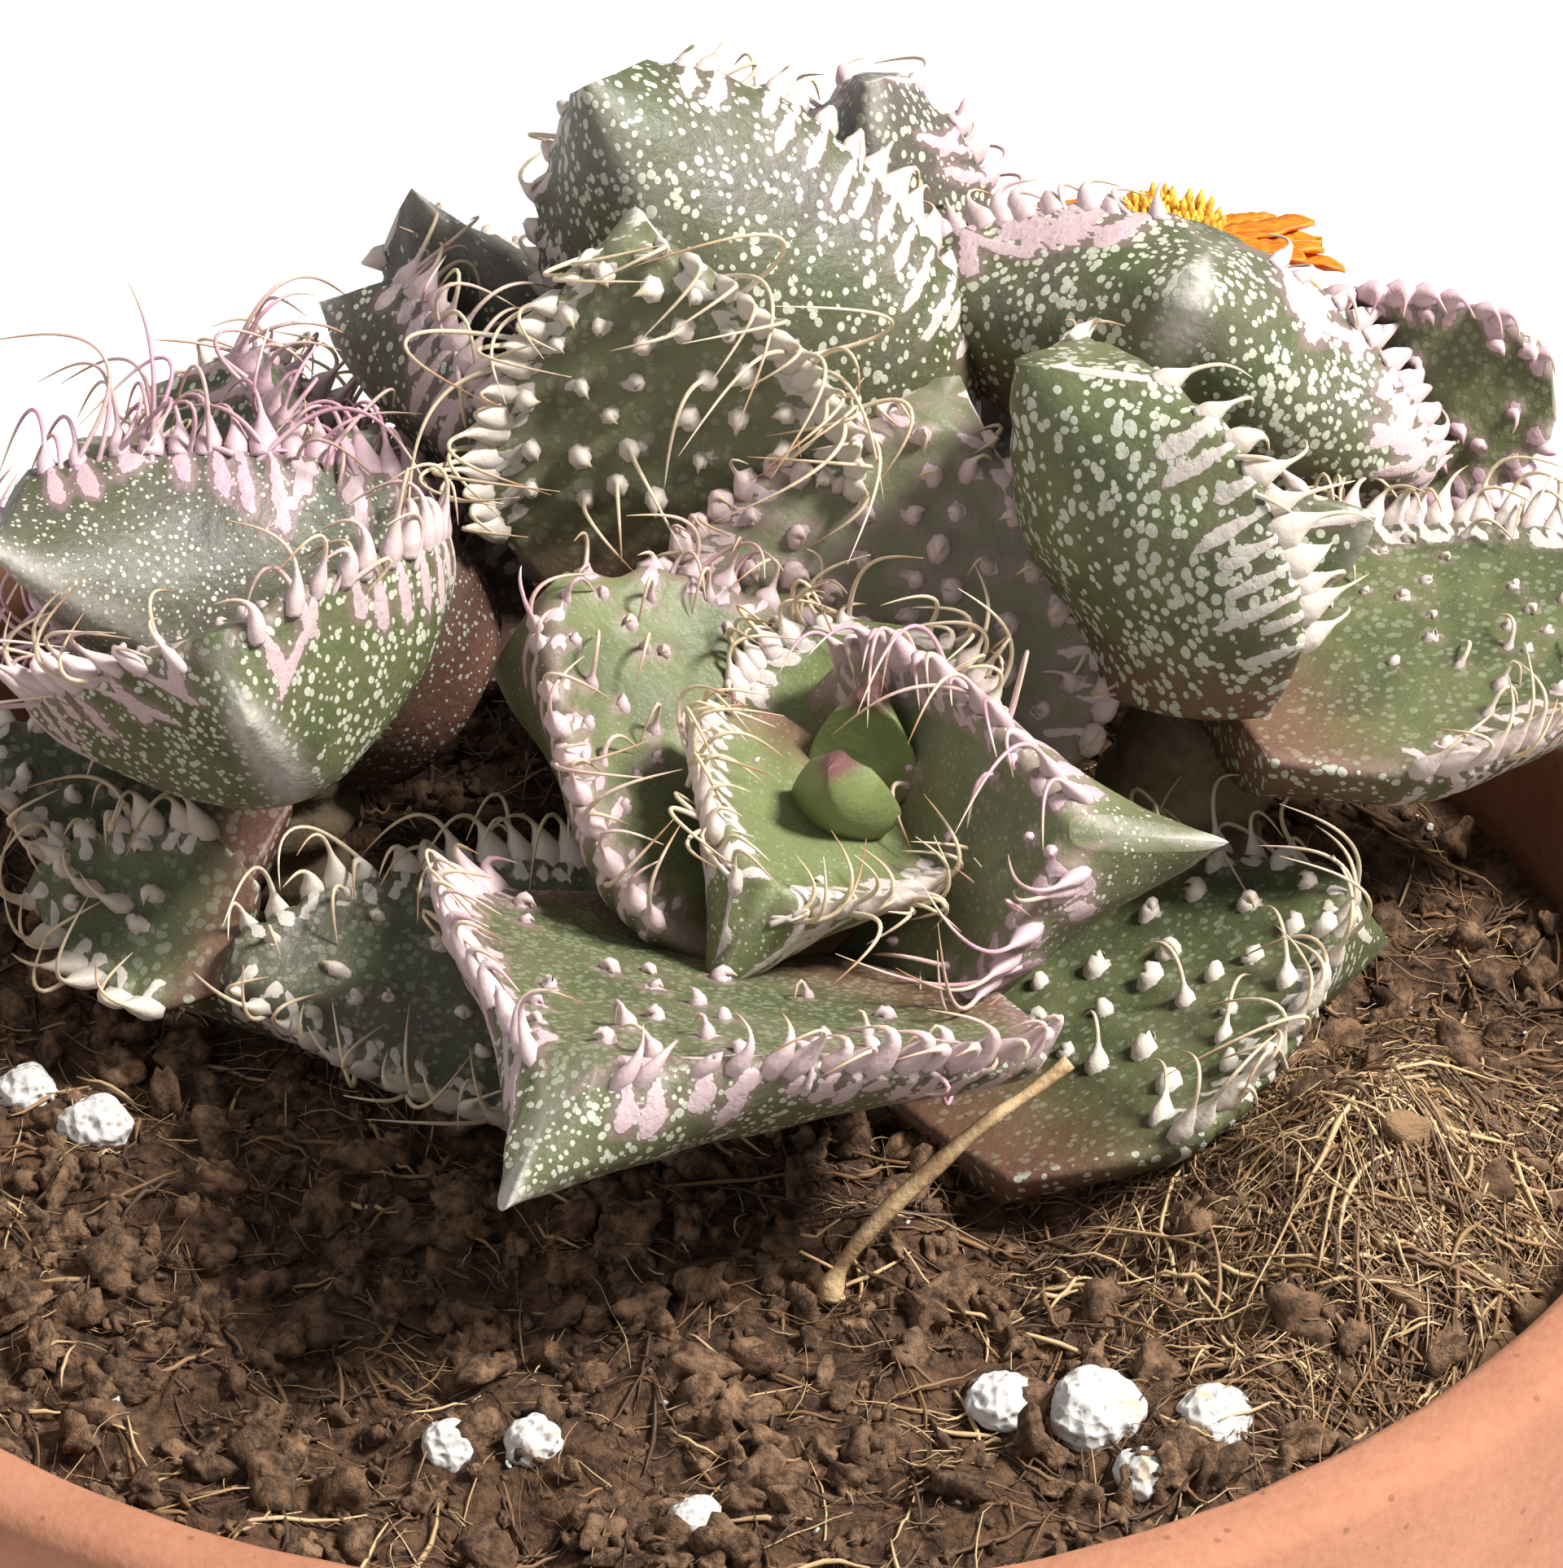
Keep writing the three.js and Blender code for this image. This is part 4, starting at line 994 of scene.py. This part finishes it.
def pot_object(material):
    """The clay pot: turned wall with a slightly uneven surface, rounded rim and a drain hole."""
    bottom_wall = BASE_RADIUS - WALL + 0.35
    outline = [
        (DRAIN_RADIUS, FLOOR_THICKNESS - 0.6), (DRAIN_RADIUS, 0.8), (DRAIN_RADIUS + 0.8, 0.0),
        (BASE_RADIUS - 1.2, 0.0), (BASE_RADIUS, 1.2),
        (RIM_RADIUS - COLLAR_STEP - COLLAR_DRAFT, POT_HEIGHT - COLLAR_HEIGHT),
        (RIM_RADIUS - COLLAR_DRAFT - 0.8, POT_HEIGHT - COLLAR_HEIGHT),
        (RIM_RADIUS - COLLAR_DRAFT, POT_HEIGHT - COLLAR_HEIGHT + 0.9),
        (RIM_RADIUS, POT_HEIGHT - RIM_ROUNDING),
        (RIM_RADIUS - 0.35 * RIM_ROUNDING, POT_HEIGHT - 0.35 * RIM_ROUNDING),
        (RIM_RADIUS - RIM_ROUNDING, POT_HEIGHT), (INNER_RADIUS + RIM_ROUNDING, POT_HEIGHT),
        (INNER_RADIUS + 0.35 * RIM_ROUNDING, POT_HEIGHT - 0.35 * RIM_ROUNDING),
        (INNER_RADIUS, POT_HEIGHT - RIM_ROUNDING),
        (INNER_RADIUS - 0.2, POT_HEIGHT - SOIL_EDGE_DROP), (bottom_wall, FLOOR_THICKNESS),
        (DRAIN_RADIUS + 0.6, FLOOR_THICKNESS),
    ]
    profile = []
    for (r0, z0), (r1, z1) in zip(outline, outline[1:] + outline[:1]):
        parts = max(1, int(math.hypot(r1 - r0, z1 - z0) / 2.0))
        profile += [(r0 + (r1 - r0) * k / parts, z0 + (z1 - z0) * k / parts) for k in range(parts)]
    profile = np.array(profile)
    around = 240
    angle = np.arange(around) * 2 * np.pi / around
    radius = np.repeat(profile[:, 0][:, None], around, axis=1)
    height = np.repeat(profile[:, 1][:, None], around, axis=1)
    points = turned(radius, angle, height).reshape(-1, 3)
    uneven = value_noise(points, 14, 21) * 0.16 + value_noise(points, 3.5, 22) * 0.07
    inward = -np.abs(uneven).reshape(radius.shape)
    outer = (profile[:, 0] > INNER_RADIUS + 1) | (profile[:, 1] < POT_HEIGHT - COLLAR_HEIGHT)
    shift = np.where(outer[:, None], inward, -inward)
    radius = radius + shift * (radius > DRAIN_RADIUS + 1)
    height = height - np.abs(uneven).reshape(radius.shape) * (height > POT_HEIGHT - 0.5)
    points = turned(radius, angle, height).reshape(-1, 3)
    rings = len(profile)
    faces = ring_faces(rings, around)
    j = np.arange(around)
    wrap = np.stack(
        [(rings - 1) * around + j, (rings - 1) * around + (j + 1) % around, (j + 1) % around, j], axis=1,
    )
    skin = Skin()
    skin.add(points, np.concatenate([faces, wrap])[:, ::-1])
    piece = skin.build("visual_pot", material)
    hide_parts("pot")
    return piece


def bent_path(start, middle, end, count):
    """A smooth path through three places."""
    t = np.linspace(0, 1, count)[:, None]
    start, middle, end = (np.array(p, float) for p in (start, middle, end))
    control = 2 * middle - (start + end) / 2
    return start * (1 - t) ** 2 + 2 * control * t * (1 - t) + end * t**2


STRAW = {"from": (21, -19, 6), "bend": (12, -22.5, -0.5), "to": (8, -23.7, -6.1), "radius": 0.6}


def straw_object(material, rng):
    """The dry stalk leaning from the leaves to the soil, with a ragged end and knots."""
    up = np.array([0, 0, POT_HEIGHT])
    path = bent_path(*(up + STRAW[place_name] for place_name in ("from", "bend", "to")), 60)
    path = path + np.stack([value_noise(path + k * 31, 4.0, k) for k in range(3)], axis=-1) * 0.3
    radii = STRAW["radius"] * (0.85 + 0.3 * value_noise(path, 1.6, 44)) * np.linspace(0.8, 1.15, 60)
    skin = Skin()
    add_tube(skin, path, radii, 10, shade=0.9)
    for _ in range(5):
        foot = path[-1 - rng.integers(0, 10)]
        tip = foot + rng.normal(0, 1.1, 3)
        bend = (foot + tip) / 2 + rng.normal(0, 0.3, 3)
        add_tube(skin, bent_path(foot, bend, tip, 6), np.full(6, 0.1), 4, shade=0.8)
    piece = skin.build("visual_straw_stalk", material)
    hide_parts("straw_stalk")
    return piece


# ---- flower ----
PETAL_RINGS = 16
FLORETS = 150
GOLDEN_TURN = 2.39996
PETAL_TILT = -math.radians(12)


def flower_object(petal, disc, rng):
    """Ragged petals and a tuft of disc florets in the CAD flower's place."""
    low, high = box_mm("flower_petals")
    tube_low, tube_high = box_mm("flower_tube")
    centre = (low + high) / 2
    centre[0] = (tube_low[0] + tube_high[0]) / 2
    reach = (high[0] - low[0]) / 2 - 0.5
    skin = Skin()
    layers = ((30, 1.0, 0.0), (24, 0.85, 0.45))
    for count, share, lift in layers:
        for k in range(count):
            heading = 2 * np.pi * (k + rng.uniform(-0.35, 0.35)) / count
            length = reach * share * rng.uniform(0.62, 1.02)
            width = rng.uniform(0.7, 1.5)
            u = np.linspace(0, 1, PETAL_RINGS)
            v = np.linspace(-1, 1, 5)
            ragged = np.interp(u, [0, 0.4, 0.85, 0.96, 1], [0.55, 1, 0.9, 0.55, 0.12])
            sway, droop = rng.normal(0, 0.09), rng.uniform(-1.3, 0.9)
            out = 2.2 + u * (length - 2.2)
            sway_aside = rng.normal(0, 0.14, PETAL_RINGS).cumsum() * 0.5
            side = width * ragged[:, None] * v + sway_aside[:, None]
            crinkle = rng.normal(0, 0.06, (PETAL_RINGS, 5))
            height = lift + droop * u[:, None] ** 2 + 0.35 * v**2 * ragged[:, None] + crinkle
            swung = heading + sway * u
            x = out[:, None] * np.cos(swung)[:, None] - side * np.sin(swung)[:, None]
            y = out[:, None] * np.sin(swung)[:, None] + side * np.cos(swung)[:, None]
            top = np.stack([x, y, height + 0.12], axis=-1)
            bottom = np.stack([x, y, height - 0.12], axis=-1)[:, ::-1]
            loop = np.concatenate([top, bottom], axis=1)
            cosine, sine = math.cos(PETAL_TILT), math.sin(PETAL_TILT)
            tilted = loop @ np.array([[1, 0, 0], [0, cosine, sine], [0, -sine, cosine]])
            points = (tilted + centre).reshape(-1, 3)
            ends = np.stack([tilted[0].mean(axis=0) + centre, tilted[-1].mean(axis=0) + centre])
            along = np.concatenate([np.repeat(u * length, 10), [0, length]])
            across = np.concatenate([np.tile(np.concatenate([v, v[::-1]]), PETAL_RINGS), [0, 0]]) * width
            skin.add_caps(skin.count, PETAL_RINGS, 10, False)
            skin.add(
                np.concatenate([points, ends]), ring_faces(PETAL_RINGS, 10)[:, ::-1], along=along,
                across=across + k * 7, shade=rng.uniform(),
            )
    piece = skin.build("visual_flower_petals", petal)
    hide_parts("flower_petals")

    tuft = Skin()
    floret = np.array([0.16, 0.16, 0.16, 0.2, 0.28, 0.1])
    for k in range(FLORETS):
        radius = 3.0 * math.sqrt((k + 0.5) / FLORETS)
        outward = np.array([math.cos(k * GOLDEN_TURN), math.sin(k * GOLDEN_TURN), 0])
        foot = centre + radius * outward + [0, 0, 0.2]
        tip = foot + 0.25 * radius * outward + [0, 0, rng.uniform(1.6, 2.6)]
        add_tube(tuft, bent_path(foot, (foot + tip) / 2, tip, 6), floret, 6, shade=rng.uniform())
    crown = tuft.build("visual_flower_centre", disc)
    return [piece, crown]


def calyx_object(material, rng):
    """The green tube under the petals, with sepals hugging it."""
    low, high = box_mm("flower_tube")
    centre = (low + high) / 2
    half = (high[0] - low[0]) / 2
    heights = np.linspace(low[2], high[2] - 0.2, 40)
    rise = (heights - low[2]) / (high[2] - low[2])
    wide = half * (0.72 + 0.28 * smooth(rise / 0.9))
    path = np.stack([np.full(40, centre[0]), np.full(40, centre[1]), heights], axis=-1)
    skin = Skin()
    ridged = 24
    add_tube(skin, path, wide, ridged, shade=0.4)
    tops = skin.points[0]
    body = tops[: 40 * ridged].reshape(40, ridged, 3)
    out = unit((body - path[:, None]) * [1, 1, 0])
    body += out * (0.12 * np.cos(np.arange(ridged) * np.pi))[None, :, None]
    piece = skin.build("visual_flower_tube", material)
    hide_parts("flower_tube")
    return piece


# ---- stems ----
def stem_object(index, name, material):
    """A crown's stem in its CAD place, ringed with old leaf scars."""
    low, high = box_mm(name)
    centre = (low + high) / 2
    half = (high - low)[:2].min() / 2
    rings, sides = 60, 40
    u = np.linspace(0, 1, rings)
    radius = half * (0.62 + 0.34 * smooth(u * 1.2)) * (1 - 0.35 * smooth((u - 0.8) / 0.2))
    path = np.stack(
        [np.full(rings, centre[0]), np.full(rings, centre[1]), low[2] + u * (high[2] - low[2])], axis=-1,
    )
    skin = Skin()
    add_tube(skin, path, radius, sides)
    body = skin.points[0][: rings * sides].reshape(rings, sides, 3)
    out = unit((body - path[:, None]) * [1, 1, 0])
    bumps = value_noise(body.reshape(-1, 3), 2.2, index).reshape(rings, sides)
    wave = 0.35 * np.cos(u * 40)[:, None] + 0.3 * bumps
    body += out * (wave - 0.4)[..., None]
    piece = skin.build(f"visual_{name}", material)
    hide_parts(name)
    return piece


# ---- build ----
rng = np.random.default_rng(20)
skin_material = leaf_material()
for index, name in enumerate(LEAVES):
    look = {**USUAL_LOOK, **LOOKS.get(name, {})}
    leaf_object(name, LEAVES[name], look, skin_material, index + 1)

peat = peat_material("peat", (0.024, 0.013, 0.008), (0.15, 0.08, 0.043), (0.26, 0.155, 0.08))
crumbs = peat_material("peat_crumbs", (0.035, 0.019, 0.011), (0.30, 0.175, 0.10), (0.36, 0.22, 0.12))
fibres = fibre_material()
grains = perlite_material()
clay = clay_material()

soil = soil_object(peat)
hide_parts("soil")
for piece in (soil, soil_clods(crumbs, rng), soil_fibres(fibres, rng)):
    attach(piece, "root")
grit = soil_grit(grains, rng)
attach(grit, "root")
for index in range(1, 11):
    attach(perlite_object(index, grains, rng), "root")
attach(pot_object(clay), "root")
stalk = plain_material("straw_skin", (0.30, 0.17, 0.075), (0.62, 0.44, 0.24), 300, 0.5, 0.0002)
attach(straw_object(stalk, rng), "root")
petal = petal_material()
disc = plain_material("floret_skin", (0.55, 0.20, 0.01), (0.85, 0.55, 0.06), 500, 0.5, 0.0001)
for piece in flower_object(petal, disc, rng):
    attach(piece, "root")
calyx = plain_material("calyx_skin", (0.10, 0.13, 0.05), (0.22, 0.24, 0.10), 120, 0.45, 0.0002)
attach(calyx_object(calyx, rng), "root")
bark = plain_material("stem_skin", (0.10, 0.07, 0.04), (0.24, 0.17, 0.10), 150, 0.7, 0.0004)
for index, name in enumerate(("stem_front", "stem_left", "stem_right", "stem_back")):
    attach(stem_object(index, name, bark), "root")

# ---- camera, light and floor ----
AIM = np.array([5.58, 17.94, POT_HEIGHT]) * MM
ELEVATION = math.radians(33)
DISTANCE = 0.450
PIXELS_PER_TANGENT = 9457
FRAME_HEIGHT = 1926
SENSOR = 36

camera_data = bpy.data.cameras.new("camera")
camera_data.sensor_fit = "VERTICAL"
camera_data.sensor_height = SENSOR
camera_data.lens = PIXELS_PER_TANGENT / FRAME_HEIGHT * SENSOR
camera_data.clip_start = 0.01
camera = bpy.data.objects.new("camera", camera_data)
camera.location = AIM + DISTANCE * np.array([0, -math.cos(ELEVATION), math.sin(ELEVATION)])
camera.rotation_euler = (math.pi / 2 - ELEVATION, 0, 0)
bpy.context.scene.collection.objects.link(camera)
bpy.context.scene.camera = camera


def area_light(name, place_from, energy, size, colour):
    """A soft square light aimed at the plant."""
    data = bpy.data.lights.new(name, "AREA")
    data.energy, data.size, data.color = energy, size, colour
    light = bpy.data.objects.new(name, data)
    light.location = AIM + np.array(place_from)
    direction = np.array(place_from, float)
    yaw = math.atan2(direction[1], direction[0])
    lean = math.atan2(math.hypot(direction[0], direction[1]), direction[2])
    light.rotation_euler = (0, lean, yaw)
    bpy.context.scene.collection.objects.link(light)
    return light


area_light("key", (0.50, -0.12, 0.62), 15.5, 0.16, (1.0, 0.985, 0.96))
area_light("fill", (-0.7, -0.6, 0.5), 1.6, 0.9, (0.93, 0.95, 1.0))

world = bpy.data.worlds.new("studio")
world.use_nodes = True
world.node_tree.nodes["Background"].inputs[0].default_value = (1.0, 1.0, 1.0, 1.0)
world.node_tree.nodes["Background"].inputs[1].default_value = 0.42
bpy.context.scene.world = world

floor_mesh = bpy.data.meshes.new("floor")
FLOOR_HALF = 3.0
corners = [(-1, -1), (1, -1), (1, 1), (-1, 1)]
floor_mesh.from_pydata([(x * FLOOR_HALF, y * FLOOR_HALF, 0) for x, y in corners], [], [(0, 1, 2, 3)])
floor_nodes = Nodes("floor_paper")
speckle = floor_nodes.noise(floor_nodes.position(), 40, 2.0)
floor_colour = floor_nodes.mix(speckle, (0.86, 0.86, 0.86), (0.89, 0.89, 0.89))
floor_mesh.materials.append(floor_nodes.finish(floor_colour, 0.9, None))
floor = bpy.data.objects.new("floor", floor_mesh)
bpy.context.scene.collection.objects.link(floor)

bpy.context.scene.view_settings.view_transform = "Standard"
